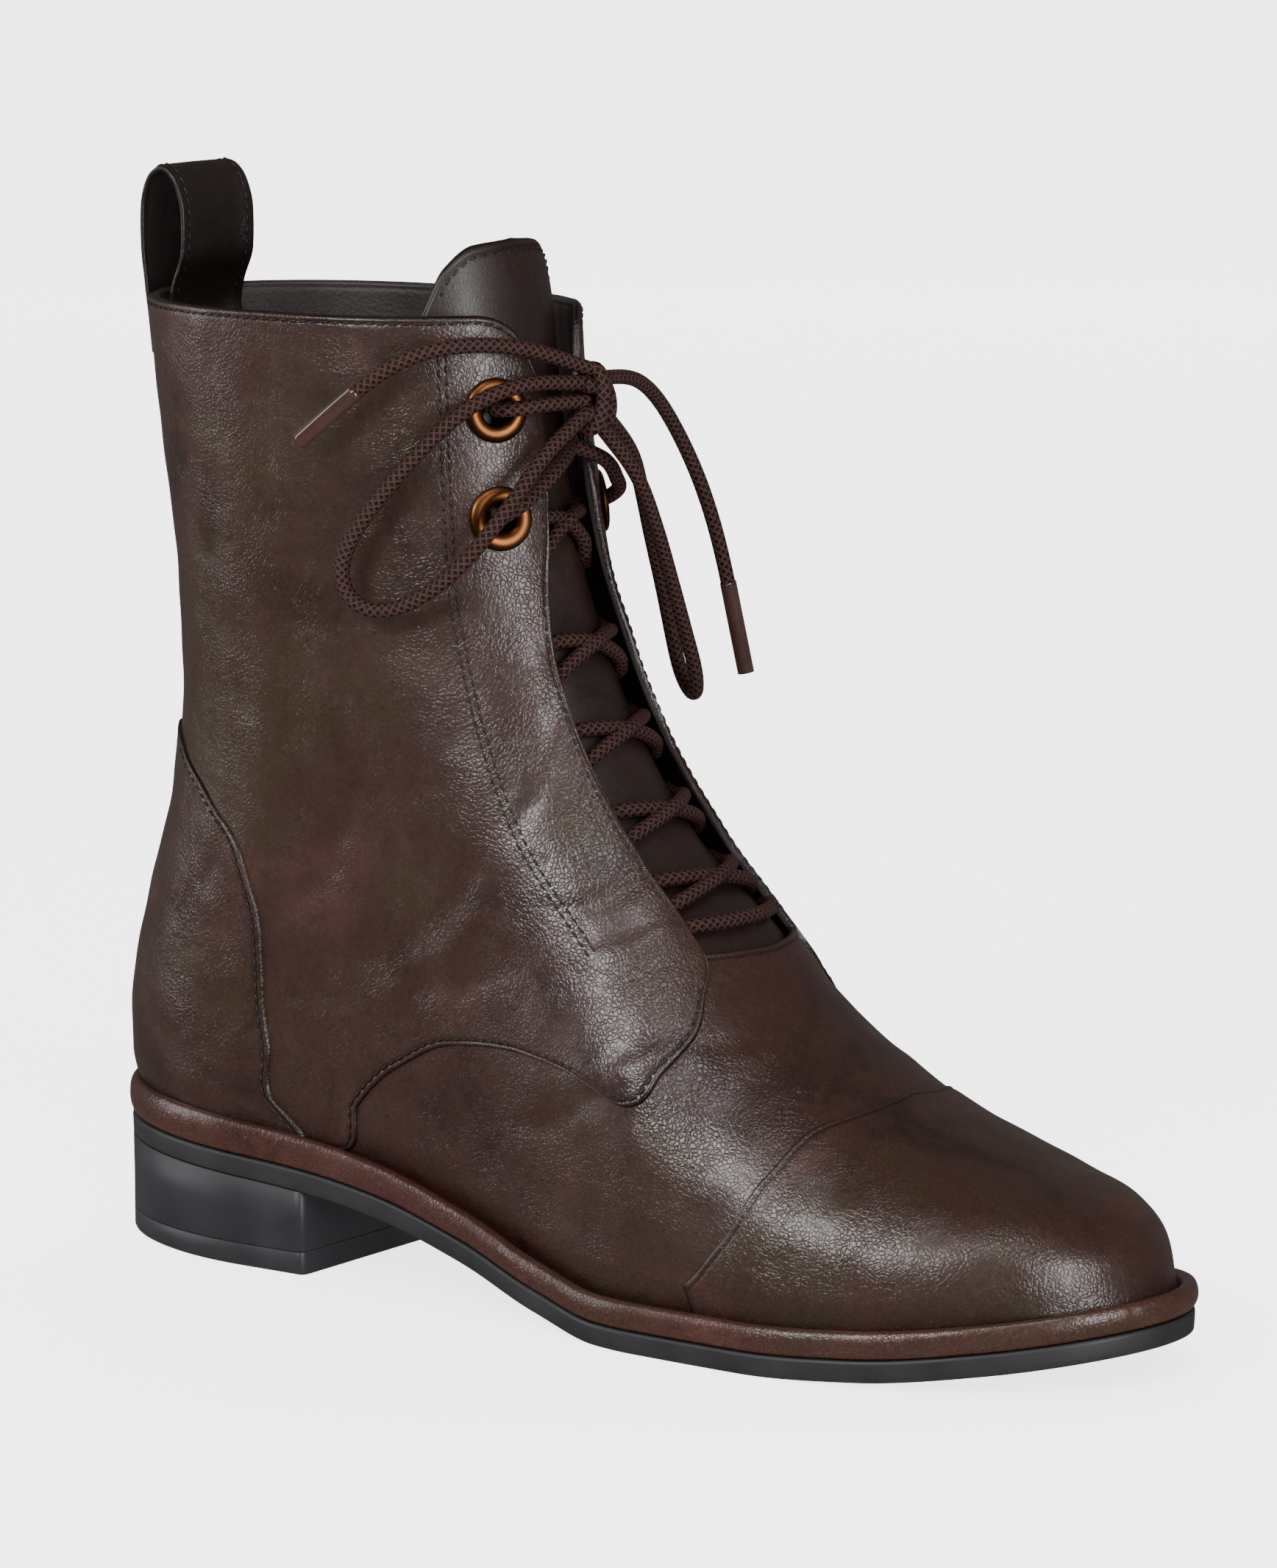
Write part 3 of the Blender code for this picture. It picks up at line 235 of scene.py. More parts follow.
# %% Heights of the sole and width of the last
def underside_height(x):
    """Height of the outsole's lower face at x."""
    along, heel, spring = columns(UNDERSIDE)
    share = np.asarray(x) / FOOT_LENGTH
    return HEEL_RISE * follow(share, along, heel) + TOE_SPRING * follow(share, along, spring)


def plate_thickness(x):
    """Midsole under the foot at x, thick at the heel and thin from the ball on."""
    return PLATE_HEEL + (PLATE_FORE - PLATE_HEEL) * ease(np.asarray(x) / FOOT_LENGTH / 0.6)


def rand_bottom(x):
    """Height of the wrapped edge's lower side, just over the outsole."""
    return underside_height(x) + OUTSOLE_THICKNESS + GAP


def feather_height(x):
    """Height at which the upper stands on the midsole."""
    return rand_bottom(x) + plate_thickness(x) + GAP


BALL_FEATHER = float(feather_height(0.65 * FOOT_LENGTH))
HEEL_SEAT = float(feather_height(0.0))
COLLAR_HEIGHT = BALL_FEATHER + INSTEP_HEIGHT + SHAFT_HEIGHT


def front_curve(points=400):
    """The front line seen from the side, from the toe up to above the collar: its x and z."""
    along, rise, climb = columns(FRONT_LINE)
    x = along * FOOT_LENGTH
    z = feather_height(np.maximum(x, 0.65 * FOOT_LENGTH)) + rise * INSTEP_HEIGHT + climb * SHAFT_HEIGHT
    way = np.concatenate(([0.0], np.cumsum(np.hypot(np.diff(x), np.diff(z)))))
    at = np.linspace(0, way[-1], points)
    return at, follow(at, way, x), follow(at, way, z)


FRONT_WAY, FRONT_X, FRONT_Z = front_curve()
COLLAR_WAY = float(np.interp(COLLAR_HEIGHT, FRONT_Z, FRONT_WAY))


def ridge_height(x):
    """Height of the front line over x; behind the shaft's front it is far above the boot."""
    far_above = FRONT_Z[-1] + 4 * COLLAR_HEIGHT
    return np.interp(x, np.append(0.0, FRONT_X[::-1]), np.append(far_above, FRONT_Z[::-1]))


def front_x(z):
    """The front line's x at a height."""
    return np.interp(z, FRONT_Z, FRONT_X)


def back_x(z):
    """The back line's x at a height."""
    up, setback = columns(BACK_LINE)
    share = (np.asarray(z) - HEEL_SEAT) / (COLLAR_HEIGHT - HEEL_SEAT)
    return follow(share, up, setback) * FOOT_LENGTH


def half_width(x, z, inner):
    """Distance of the surface from the boot's middle plane, on the inner or the outer side."""
    along, outer_share, inner_share = columns(FOOT_WIDTHS)
    share = x / FOOT_LENGTH
    foot = BALL_WIDTH * np.where(inner, follow(share, along, inner_share), follow(share, along, outer_share))
    up, leg_share = columns(LEG_WIDTHS)
    leg = LEG_WIDTH * follow((z - HEEL_SEAT) / (COLLAR_HEIGHT - HEEL_SEAT), up, leg_share)
    leg_from = HEEL_SEAT + 0.12 * (COLLAR_HEIGHT - HEEL_SEAT)
    leg_to = HEEL_SEAT + 0.50 * (COLLAR_HEIGHT - HEEL_SEAT)
    base = foot + (leg - foot) * ease((z - leg_from) / (leg_to - leg_from))
    back = np.clip((x - back_x(z)) / BACK_ROUND, 0, 1)
    front_round = TOE_ROUND + (SHAFT_ROUND - TOE_ROUND) * ease((z - BALL_FEATHER) / INSTEP_HEIGHT)
    room = ridge_height(x) - feather_height(x)
    top_round = np.minimum(TOP_ROUND, np.maximum(0.95 * room, 10 * MM))
    ahead = np.maximum((front_x(z) - x) / front_round, 1e-9)
    above = np.maximum((ridge_height(x) - z) / top_round, 1e-9)
    edge = (ahead**-CORNER_BLEND + above**-CORNER_BLEND) ** (-1 / CORNER_BLEND)
    edge = np.clip(edge, 0, 1)
    tuck = FEATHER_TUCK * (1 - ease((z - feather_height(x)) / TUCK_HEIGHT))
    closure = np.sqrt(1 - (1 - back) ** 2) * np.sqrt(1 - (1 - edge) ** FULLNESS)
    return (base - tuck) * closure


print("widest", round(float(half_width(0.72 * FOOT_LENGTH, BALL_FEATHER + 5 * MM, False)) / MM, 1),
      "mm to the outer side")

# %% [markdown]
# Leather is pulled over a last in one go, so all panels share one surface. A point on it is named by its
# height share c, from the feather line to the collar, and its way round a: 0 is the back, 1 the front, and
# minus turns to the outer side. Panels, stitches and eyelets are then places in c and a.

# %% The surface of the upper
def last_point(c, a):
    """Outer face of the upper's wall at height share c and way round a (arrays of one shape)."""
    c, a = np.broadcast_arrays(np.asarray(c, dtype=float), np.asarray(a, dtype=float))
    back_z = HEEL_SEAT + (COLLAR_HEIGHT - HEEL_SEAT) * c**BACK_CROWDING
    way = COLLAR_WAY * c**FRONT_CROWDING
    end_x = np.interp(way, FRONT_WAY, FRONT_X)
    end_z = np.interp(way, FRONT_WAY, FRONT_Z)
    start_x = back_x(back_z)
    share = (1 - np.cos(pi * a)) / 2
    x = start_x + (end_x - start_x) * share
    straight = back_z + (end_z - back_z) * share
    start_lift = back_z - feather_height(start_x)
    end_lift = end_z - feather_height(end_x)
    beside_sole = feather_height(x) + start_lift + (end_lift - start_lift) * share
    z = beside_sole + (straight - beside_sole) * ease(c / LEVEL_RINGS_FROM)
    inner = np.sin(pi * a) >= 0
    y = half_width(x, z, inner) * np.where(inner, 1.0, -1.0)
    return np.stack([x, y, z], axis=-1)


def outward(c, a):
    """Unit normal of the surface, pointing out of the boot."""
    step = 0.002
    c, a = np.broadcast_arrays(np.asarray(c, dtype=float), np.asarray(a, dtype=float))
    low = np.maximum(c - step, 0)
    up = last_point(c + step, a) - last_point(low, a)
    along = last_point(c, a + step) - last_point(c, a - step)
    normal = np.cross(up, along)
    return normal / np.linalg.norm(normal, axis=-1, keepdims=True)


print("heel seat", round(HEEL_SEAT / MM, 1), "mm, collar", round(COLLAR_HEIGHT / MM, 1), "mm over the floor")

# %% [markdown]
# A pattern cutter draws the panels on the taped last. Their edges are such lines here too: tables of places
# on the surface, read off the photo.

# %% Panels of the upper as places on that surface
# Front edge of the lace flaps: height share c, then how far round the edge lies, outer and inner side
FLAP_FRONT = (
    (0.00, 0.883, 0.860),
    (0.46, 0.883, 0.860),
    (0.49, 0.892, 0.866),
    (0.54, 0.882, 0.858),
    (0.63, 0.870, 0.850),
    (0.74, 0.882, 0.862),
    (0.85, 0.935, 0.900),
    (0.92, 0.952, 0.915),
    (1.00, 0.955, 0.918),
)

# Lower edge of a quarter and its flap: share of the way round to the flap's front edge, height share c
QUARTER_LOWER = (
    (0.000, 0.000),
    (0.387, 0.000),
    (0.453, 0.210),
    (0.529, 0.325),
    (0.614, 0.385),
    (0.693, 0.395),
    (0.760, 0.380),
    (0.797, 0.345),
    (0.873, 0.390),
    (0.943, 0.430),
    (1.000, 0.465),
)

# Upper edge of a quarter: share of the way round to the flap's front edge, height share c
QUARTER_UPPER = (
    (0.000, 1.000),
    (0.880, 1.000),
    (0.950, 0.993),
    (1.000, 0.972),
)

# Seam in front of which the flap is free: height share c, way round a
FLAP_SEAM = (
    (0.45, 0.780),
    (0.54, 0.745),
    (0.62, 0.729),
    (0.70, 0.734),
    (0.80, 0.748),
    (0.90, 0.770),
    (1.00, 0.787),
    (1.20, 0.800),
)

# Edge of the heel counter: height share c, way round a
COUNTER_EDGE = (
    (0.00, 0.328),
    (0.18, 0.325),
    (0.35, 0.358),
    (0.52, 0.379),
    (0.60, 0.364),
    (0.65, 0.312),
    (0.70, 0.205),
    (0.72, 0.120),
)

# Upper edge of the toe cap: share of the way from the front to the sole, height share c
TOE_CAP_EDGE = (
    (0.000, 0.335),
    (0.366, 0.312),
    (0.655, 0.235),
    (0.912, 0.110),
    (1.000, 0.060),
)
TOE_CAP_SPREAD = 0.388           # way round from the front to the toe cap's foot

# Bottom of the throat: share of the way from the front to the flap seam, height share c
THROAT_LOWER = (
    (0.00, 0.500),
    (0.60, 0.505),
    (1.00, 0.530),
)

# Upper edge of the tongue: share of its half width, height share c
TONGUE_UPPER = (
    (0.00, 1.050),
    (0.50, 1.046),
    (0.80, 1.030),
    (1.00, 1.000),
)

# How deep the tongue lies under the upper's outer face: height share c, depth
TONGUE_THICKNESS = 2.6 * MM
TONGUE_DEPTH = 5.0 * MM          # up the shaft
TONGUE_FOOT_DEPTH = WALL + 2 * GAP
TONGUE_FROM = 0.455
TONGUE_SPREAD = 0.245            # way round from the front to the tongue's side edge

FLAP_INNER = 1.1 * MM            # the flap's inner face lies this far inside the wall's outer face
COUNTER_STEP = 1.75 * MM         # outer face of the counter over the wall
BACKSTAY_STEP = 0.8 * MM         # the back strip over what it lies on
BACKSTAY_WIDTH = 12 * MM
print("flap front:", len(FLAP_FRONT), "places, quarter:", len(QUARTER_LOWER), "places")

# %% [markdown]
# The trimmings have sizes of their own. The bow is the one thing that no rule gives: its cords were placed
# point by point, until they hung as in the photo.

# %% Sizes of eyelets, laces, loop and zip
EYELET_SIZE = 13.5 * MM
EYELET_BORE = 8.0 * MM
EYELET_RIM = 1.1 * MM            # height of the rim over the flap
EYELET_HOLE = 9.8 * MM           # hole in the flap
EYELET_BARREL = 9.0 * MM
EYELETS = (                      # height share c, way round on the outer side
    ("1", 0.935, 0.862),
    ("2", 0.860, 0.846),
)
INNER_EYELET_SHIFT = 0.036       # the inner flap's eyelets lie this much further from the front

LACE = 3.2 * MM
AGLET = 3.6 * MM
LACE_ROWS = (0.845, 0.757, 0.690, 0.623, 0.560)      # height shares of the crossings on the tongue
LACE_BAR = 0.527
ROW_SPREAD = 0.012               # half the distance between a row's two strands at the flaps
EDGE_ROOM = 0.008                # way round kept between a strand's end and the flap's edge
TONGUE_ROOM = 0.5 * MM           # air between a strand and the curved tongue

# The crossing over the flaps: height share c, way round a on the outer side, height over the surface in MM
TOP_CROSSING = (
    (0.860, 0.846, -0.5),
    (0.862, 0.851, 2.6),
    (0.867, 0.868, 4.8),
    (0.877, 0.902, 4.8),
    (0.890, 0.945, 4.2),
    (0.899, 0.985, 2.4),
    (0.905, 1.020, 0.4),
    (0.908, 1.045, -0.8),
)

PULL_LOOP_WIDTH = 24 * MM
PULL_LOOP_HEIGHT = 26 * MM
PULL_LOOP_THICKNESS = 1.6 * MM
# The pull loop from the side, from its outer end over the top to its inner end: shares of its height
# behind the back line and over the collar
PULL_LOOP_LINE = (
    (-0.090, -0.52),
    (-0.090, -0.26),
    (-0.095, -0.03),
    (-0.120, 0.30),
    (-0.090, 0.68),
    (0.015, 0.94),
    (0.130, 1.00),
    (0.250, 0.92),
    (0.330, 0.66),
    (0.300, 0.32),
    (0.190, 0.05),
    (0.130, -0.20),
    (0.130, -0.52),
)

ZIP_SLOT = 6.4 * MM
ZIP_FROM = 0.41
TAPE_LEVEL = -0.35 * MM          # the tape's face over the wall's outer face
# Middle of the zip on the inner side: height share c, way round a
ZIP_LINE = (
    (0.40, 0.475),
    (0.70, 0.495),
    (1.00, 0.510),
    (1.20, 0.515),
)
COIL_WIDTH = 3.2 * MM
COIL_WIRE = 1.04 * MM            # thickness of the coil's wire
COIL_PITCH = 1.25 * MM           # from one turn to the next
SLIDER_AT = 0.978
SLIDER_WIDTH = 9 * MM
SLIDER_LENGTH = 12 * MM
SLIDER_HEIGHT = 3 * MM
BRIDGE_WIDTH = 2.2 * MM
BRIDGE_LENGTH = 8.4 * MM
BRIDGE_POST = 1.3 * MM           # thickness of the bridge's feet
BRIDGE_ROOM = 2.6 * MM           # height under the slider's bridge, where the pull turns
BRIDGE_ROOF = 0.9 * MM           # thickness of its top
PULL_WIDTH = 8.7 * MM
PULL_LENGTH = 26 * MM
PULL_THICKNESS = 1.4 * MM
PULL_WINDOW = 5.2 * MM           # length of the opening that takes the bridge
PULL_WINDOW_ROOM = 0.5 * MM      # air on either side of the bridge

# The bow, listed points in millimetres from the middle of the front beside the top eyelets: forward, to
# the inner side and up. A strand that meets the knot gives its height there instead of a point.
BOW_AT = 0.935                   # height share c of that middle
KNOT = (8.7, 1.0, 1.6)
KNOT_SIZE = (4.8, 4.8, 8.0)
TOP_STRANDS = {
    "lace_top_outer": ((-4.9, -15.5, -0.3), (-1.9, -16.2, 0.1), (1.3, -14.2, 0.4),
                       (3.9, -10.4, 0.9), 1.1),
    "lace_top_inner": ((-7.5, 19.2, -0.4), (-4.5, 20.3, -0.1), (-1.0, 18.9, 0.2),
                       (2.3, 14.6, 0.6), 1.3),
}
CORDS = {
    "lace_loop_outer": (5.1, (3.1, -14.6, 5.7), (-2.7, -23.6, 2.5), (-9.3, -30.4, -4.9),
                        (-16.3, -34.8, -13.9), (-23.3, -38.0, -23.9), (-27.3, -39.0, -31.9),
                        (-25.7, -39.0, -38.5), (-18.3, -37.0, -41.3), (-10.3, -34.0, -37.9),
                        (-2.9, -31.2, -31.9), (2.3, -27.4, -24.5), (5.9, -22.0, -16.7),
                        (7.1, -14.6, -9.1), -2.7),
    "lace_loop_inner": (-2.5, (7.1, 16.0, -10.3), (2.7, 26.0, -19.9), (-0.9, 34.6, -31.3),
                        (-2.7, 41.6, -43.9), (-2.9, 45.8, -55.9), (-1.7, 47.6, -64.5), (2.3, 46.6, -68.1),
                        (5.1, 43.4, -63.3), (5.9, 38.2, -52.9), (7.5, 30.4, -39.9), (9.9, 20.4, -25.3),
                        (11.3, 11.4, -13.9), -6.1),
    "lace_end_outer": (8.7, (2.1, -13.4, 12.7), (-4.5, -22.8, 13.9), (-13.7, -31.4, 11.9),
                       (-20.3, -36.0, 7.3), (-22.9, -37.4, 4.9)),
    "lace_end_inner": (5.5, (7.3, 16.0, 4.7), (5.3, 27.0, 0.1), (4.3, 37.0, -8.9),
                       (5.1, 44.4, -20.5), (6.9, 48.4, -32.9), (8.3, 49.8, -41.5)),
}
AGLETS = {
    "aglet_outer": ((-23.3, -37.7, 4.5), (-29.3, -39.8, -0.9), (-35.9, -41.0, -6.5)),
    "aglet_inner": ((8.4, 49.9, -42.2), (9.7, 51.4, -51.9), (11.3, 52.6, -61.9)),
}

print("cords:", ", ".join(CORDS))

# %% [markdown]
# Several pieces need the same edges: the front of the lace flaps, places at an even width near the back, and
# the depth at which the tongue lies.

# %% Edges of the panels
def way_round_front(c, side):
    """Where the flap's front edge lies on a side, -1 for outer and +1 for inner."""
    height, outer_edge, inner_edge = columns(FLAP_FRONT)
    return np.where(np.asarray(side) > 0, follow(c, height, inner_edge), follow(c, height, outer_edge))


def way_at_width(c, width):
    """Way round a, near the back, at which the surface is width from the middle plane."""
    tries = np.linspace(0, 0.3, 121)
    return np.array([np.interp(width, last_point(share, tries)[:, 1], tries) for share in np.atleast_1d(c)])


def tongue_depth(c):
    """Depth of the tongue's outer face under the upper's outer face."""
    return TONGUE_FOOT_DEPTH + (TONGUE_DEPTH - TONGUE_FOOT_DEPTH) * ease((c - 0.50) / 0.11)


print("back strip's edge at way round", way_at_width(0.9, BACKSTAY_WIDTH / 2).round(4).tolist())

# %% [markdown]
# Every new piece is a grid of points worked out with numpy. One function turns a grid into a mesh: each
# cell becomes a four-sided face, and a grid that closes on itself joins its last column to its first.

# %% From a grid to a mesh
def outline_at(offset, points=240):
    """The feather line moved outward by offset, as a closed loop of x and y in last coordinates."""
    a = np.linspace(-1, 1, points + 1)[:-1]
    edge = last_point(np.zeros_like(a), a)[:, :2]
    along = np.roll(edge, -1, axis=0) - np.roll(edge, 1, axis=0)
    along /= np.linalg.norm(along, axis=1, keepdims=True)
    return edge + offset * np.stack([-along[:, 1], along[:, 0]], axis=1)


SOLE = outline_at(RAND_OVERHANG, 1200)
CENTRE = np.array([(SOLE[:, 0].min() + SOLE[:, 0].max()) / 2, (SOLE[:, 1].min() + SOLE[:, 1].max()) / 2, 0.0])


def mesh_object(name, points, faces, look, uv=None):
    """Object from points and four-sided faces, smooth, with an optional UV value for each point."""
    mesh = bpy.data.meshes.new(name)
    mesh.vertices.add(len(points))
    mesh.vertices.foreach_set("co", np.asarray(points, dtype=np.float32).ravel())
    faces = np.asarray(faces, dtype=np.int32)
    mesh.loops.add(faces.size)
    mesh.loops.foreach_set("vertex_index", faces.ravel())
    mesh.polygons.add(len(faces))
    mesh.polygons.foreach_set("loop_start", np.arange(0, faces.size, faces.shape[1], dtype=np.int32))
    mesh.polygons.foreach_set("use_smooth", np.ones(len(faces), dtype=bool))
    if uv is not None:
        layer = mesh.uv_layers.new(name="UVMap")
        layer.data.foreach_set("uv", np.asarray(uv, dtype=np.float32)[faces.ravel()].ravel())
    mesh.update(calc_edges=True)
    mesh.validate()
    mesh.materials.append(look)
    made = bpy.data.objects.new(name, mesh)
    bpy.context.scene.collection.objects.link(made)
    return made


def grid_faces(rows, cols, close_cols=False):
    """Corner numbers of the cells of a grid, row by row."""
    i = np.arange(rows - 1)[:, None]
    j = np.arange(cols if close_cols else cols - 1)[None, :]
    here, below, right = i * cols, (i + 1) * cols, (j + 1) % cols
    return np.stack(np.broadcast_arrays(here + j, here + right, below + right, below + j), -1).reshape(-1, 4)


def grid_object(name, points, look, close_cols=False, uv=None, shift=True, flip=False, cut=None):
    """Object from a grid of points in last coordinates, moved so that the sole's middle is the origin."""
    rows, cols = points.shape[:2]
    faces = grid_faces(rows, cols, close_cols)
    if flip:
        faces = faces[:, ::-1]
    if cut is not None:
        faces = cut(points, faces)
    flat = points.reshape(-1, 3) - (CENTRE if shift else 0)
    return mesh_object(name, flat, faces, look, None if uv is None else uv.reshape(-1, 2))


print("sole", np.round((SOLE.max(0) - SOLE.min(0)) / MM, 1), "mm, middle", np.round(CENTRE / MM, 2))

# %% [markdown]
# Materials. The leather is a smooth cowhide with a burnished, waxed finish: dark brown with redder and
# greener clouds where the wax was rubbed in, a fine net of pores and folds, and a soft gloss. Colours are
# written as sRGB hex values, and one small function turns them to the linear values that Blender counts in.

# %% Colour and node helpers
def hex_color(text):
    """sRGB hex to linear RGBA: the low values are scaled, the others follow the 2.4 power."""
    value = np.array([int(text[i:i + 2], 16) for i in (1, 3, 5)]) / 255
    linear = np.where(value <= 0.04045, value / 12.92, ((value + 0.055) / 1.055) ** 2.4)
    return (*linear.tolist(), 1.0)


NOISE, RAMP, MIX = "ShaderNodeTexNoise", "ShaderNodeValToRGB", "ShaderNodeMix"


def add(tree, kind, links=(), stops=(), **settings):
    """Adds a node; settings name its properties or sockets, links are (input, other node, its output), and
    stops are the (place, colour) pairs of a colour ramp.
    """
    node = tree.nodes.new(kind)
    elements = node.color_ramp.elements if stops else ()
    while len(elements) < len(stops):
        elements.new(0.5)
    for element, (place, color) in zip(elements, stops):
        element.position = place
        element.color = color
    for key, value in settings.items():
        if hasattr(node, key):
            setattr(node, key, value)
        else:
            node.inputs[key.replace("_", " ")].default_value = value
    for socket, other, output in links:
        tree.links.new(other.outputs[output], node.inputs[socket])
    return node


def new_material(name):
    """Material with an empty tree, its output and its Principled shader."""
    made = bpy.data.materials.new(name)
    made.use_nodes = True
    tree = made.node_tree
    tree.nodes.clear()
    shader = add(tree, "ShaderNodeBsdfPrincipled")
    add(tree, "ShaderNodeOutputMaterial", [("Surface", shader, "BSDF")])
    return made, tree, shader


def per(size):
    """Texture scale for a pattern whose repeat is this many metres."""
    return 1.0 / size


def grey(value):
    """Linear grey as RGBA."""
    return (value, value, value, 1)


print("white is", hex_color("#ffffff"))

# %% [markdown]
# Leather is seen at three distances. From afar it has soft clouds where the wax took unevenly, nearer it has
# creases and swells from wear, and close up a net of pebbles and pores. A photographed hide would repeat and
# would carry its own light, so each of the three is a texture with its size in millimetres.

# %% Burnished leather
def leather(name, dark, base, warm, olive, roughness, grain=1.0, coat=0.25, gloss_spread=0.12,
            fold_height=1.0):
    """Waxed smooth cowhide: a net of fine pebbles, creases over them, soft clouds of colour and of gloss.

    The pebbles are cells of 0.95 mm, bent by noise and pressed flat in places; ridged noise of 8 mm draws the
    fine creases over them, and soft swells of 11 mm carry both. An attribute of painted shade along folded
    edges darkens the colour there and takes the coat of wax away, or, where it is below 0, lightens the
    colour as a painted highlight and adds to the coat.
    """
    made, tree, shader = new_material(name)
    place = add(tree, "ShaderNodeTexCoord")
    clouds = add(tree, NOISE, [("Vector", place, "Object")], Scale=per(34 * MM), Detail=6.0, Roughness=0.66,
                 Distortion=0.9)
    broad = add(tree, NOISE, [("Vector", place, "Object")], Scale=per(46 * MM), Detail=4.0, Roughness=0.6,
                Distortion=0.5)
    tint = add(tree, RAMP, [("Fac", clouds, "Fac")], ((0.34, hex_color(dark)), (0.47, hex_color(base)),
                                                      (0.56, hex_color(base)), (0.68, hex_color(warm))))
    green = add(tree, RAMP, [("Fac", broad, "Fac")], ((0.50, grey(0)), (0.64, grey(0.85))))
    color = add(tree, MIX, [("Factor", green, "Color"), ("A", tint, "Color")], data_type="RGBA",
                B=hex_color(olive))

    bend = add(tree, NOISE, [("Vector", place, "Object")], Scale=per(3 * MM), Detail=3.0, Roughness=0.6)
    bent = add(tree, "ShaderNodeMixRGB", [("Color1", place, "Object"), ("Color2", bend, "Color")],
               blend_type="LINEAR_LIGHT", Fac=0.0007)
    cells = add(tree, "ShaderNodeTexVoronoi", [("Vector", bent, "Color")], feature="DISTANCE_TO_EDGE",
                Scale=per(0.95 * MM))
    pebble = add(tree, RAMP, [("Fac", cells, "Distance")],
                 ((0.0, grey(0)), (0.12, grey(0.55)), (0.30, grey(0.9)), (0.6, grey(1))))
    creases = add(tree, NOISE, [("Vector", bent, "Color")], noise_type="RIDGED_MULTIFRACTAL",
                  Scale=per(8 * MM), Detail=5.0, Roughness=0.55)
    crease = add(tree, RAMP, [("Fac", creases, "Fac")], ((0.35, grey(1)), (0.75, grey(0.55)), (1.0, grey(0))))
    pores = add(tree, NOISE, [("Vector", place, "Object")], Scale=per(0.6 * MM), Detail=3.0, Roughness=0.7)
    swell = add(tree, NOISE, [("Vector", place, "Object")], Scale=per(11 * MM), Detail=4.0, Roughness=0.55)
    where = add(tree, RAMP, [("Fac", swell, "Fac")], ((0.34, grey(0.35)), (0.60, grey(1))))

    # Pores and pebbles share the height, and both fade where the hide was pressed flat
    fine = add(tree, MIX, [("A", pebble, "Color"), ("B", pores, "Color")], data_type="RGBA", Factor=0.45)
    gentle = add(tree, MIX, [("Factor", where, "Color"), ("B", fine, "Result")], data_type="RGBA",
                 A=grey(0.75))
    bump_fine = add(tree, "ShaderNodeBump", [("Height", gentle, "Result")], Strength=min(0.62 * grain, 1.0),
                    Distance=0.17 * MM)
    bump_fold = add(tree, "ShaderNodeBump", [("Height", crease, "Color"), ("Normal", bump_fine, "Normal")],
                    Strength=0.38 * fold_height, Distance=0.30 * MM)
    bump_swell = add(tree, "ShaderNodeBump", [("Height", swell, "Fac"), ("Normal", bump_fold, "Normal")],
                     Strength=0.60 * fold_height, Distance=0.9 * MM)

    gloss = add(tree, "ShaderNodeMapRange", [("Value", clouds, "Fac")], From_Min=0.3, From_Max=0.75,
                To_Min=roughness - gloss_spread / 2, To_Max=roughness + gloss_spread)
    # Painted shade: the colour is darker in the grooves between the pebbles and, below, in the creases
    darker = add(tree, MIX, [("A", color, "Result"), ("B", pebble, "Color")], data_type="RGBA",
                 blend_type="MULTIPLY", Factor=0.45)
    creased = add(tree, MIX, [("A", darker, "Result"), ("B", crease, "Color")], data_type="RGBA",
                  blend_type="MULTIPLY", Factor=0.30)
    # Painted shade at the foot of folded edges and in their stitched grooves, and a painted highlight on
    # their crests, read from the mesh: it scales the colour and the coat
    painted_edge_shading = add(tree, "ShaderNodeAttribute", attribute_name="painted_edge_shading")
    kept_light = add(tree, "ShaderNodeMath", [(1, painted_edge_shading, "Fac")], operation="SUBTRACT")
    kept_light.inputs[0].default_value = 1.0
    edged = add(tree, "ShaderNodeVectorMath", [(0, creased, "Result"), (1, kept_light, "Value")],
                operation="MULTIPLY")
    waxed = add(tree, "ShaderNodeMath", [(0, kept_light, "Value")], operation="MULTIPLY", use_clamp=True)
    waxed.inputs[1].default_value = coat
    tree.links.new(waxed.outputs["Value"], shader.inputs["Coat Weight"])
    tree.links.new(edged.outputs["Vector"], shader.inputs["Base Color"])
    tree.links.new(gloss.outputs["Result"], shader.inputs["Roughness"])
    tree.links.new(bump_swell.outputs["Normal"], shader.inputs["Normal"])
    tree.links.new(bump_swell.outputs["Normal"], shader.inputs["Coat Normal"])
    shader.inputs["Coat Roughness"].default_value = 0.24
    shader.inputs["IOR"].default_value = 1.5
    return made


# Drum-dyed cowhide, rubbed with dark wax and brushed: deep brown clouds under a soft broad gloss
UPPER_LEATHER = leather("burnished_cowhide", "#1d0e0a", "#29150f", "#331911", "#291b0d", 0.34, coat=0.45)
# The same hide split thinner and left unbrushed: nearly black, with a duller and smoother face
TONGUE_LEATHER = leather("tongue_cowhide", "#150b09", "#1e110e", "#261511", "#1d140f", 0.42, grain=0.4,
                         coat=0.1, fold_height=0.3)
# A strip of redder leather, wetted and wrapped round the sole's edge: a narrow warm line with a hard gloss
EDGE_LEATHER = leather("wrapped_edge_leather", "#25110c", "#351a14", "#42221a", "#301e11", 0.32, grain=0.9,
                       coat=0.35)
# Strap leather with a satin gloss, the darkest of them: dark in its own colour, and darker still as painted
# shade for the shadow across the loop
LOOP_LEATHER = leather("loop_cowhide", "#0e0706", "#150c0a", "#1b0f0c", "#16100b", 0.38, grain=0.8)
print("leathers made")

# %% [markdown]
# The other finishes differ in what the eye reads from a highlight: how wide it is, how much the grain breaks
# it up, and whether it has the colour of a metal. One function takes these three. Clouds in the roughness
# keep each from looking like plastic.

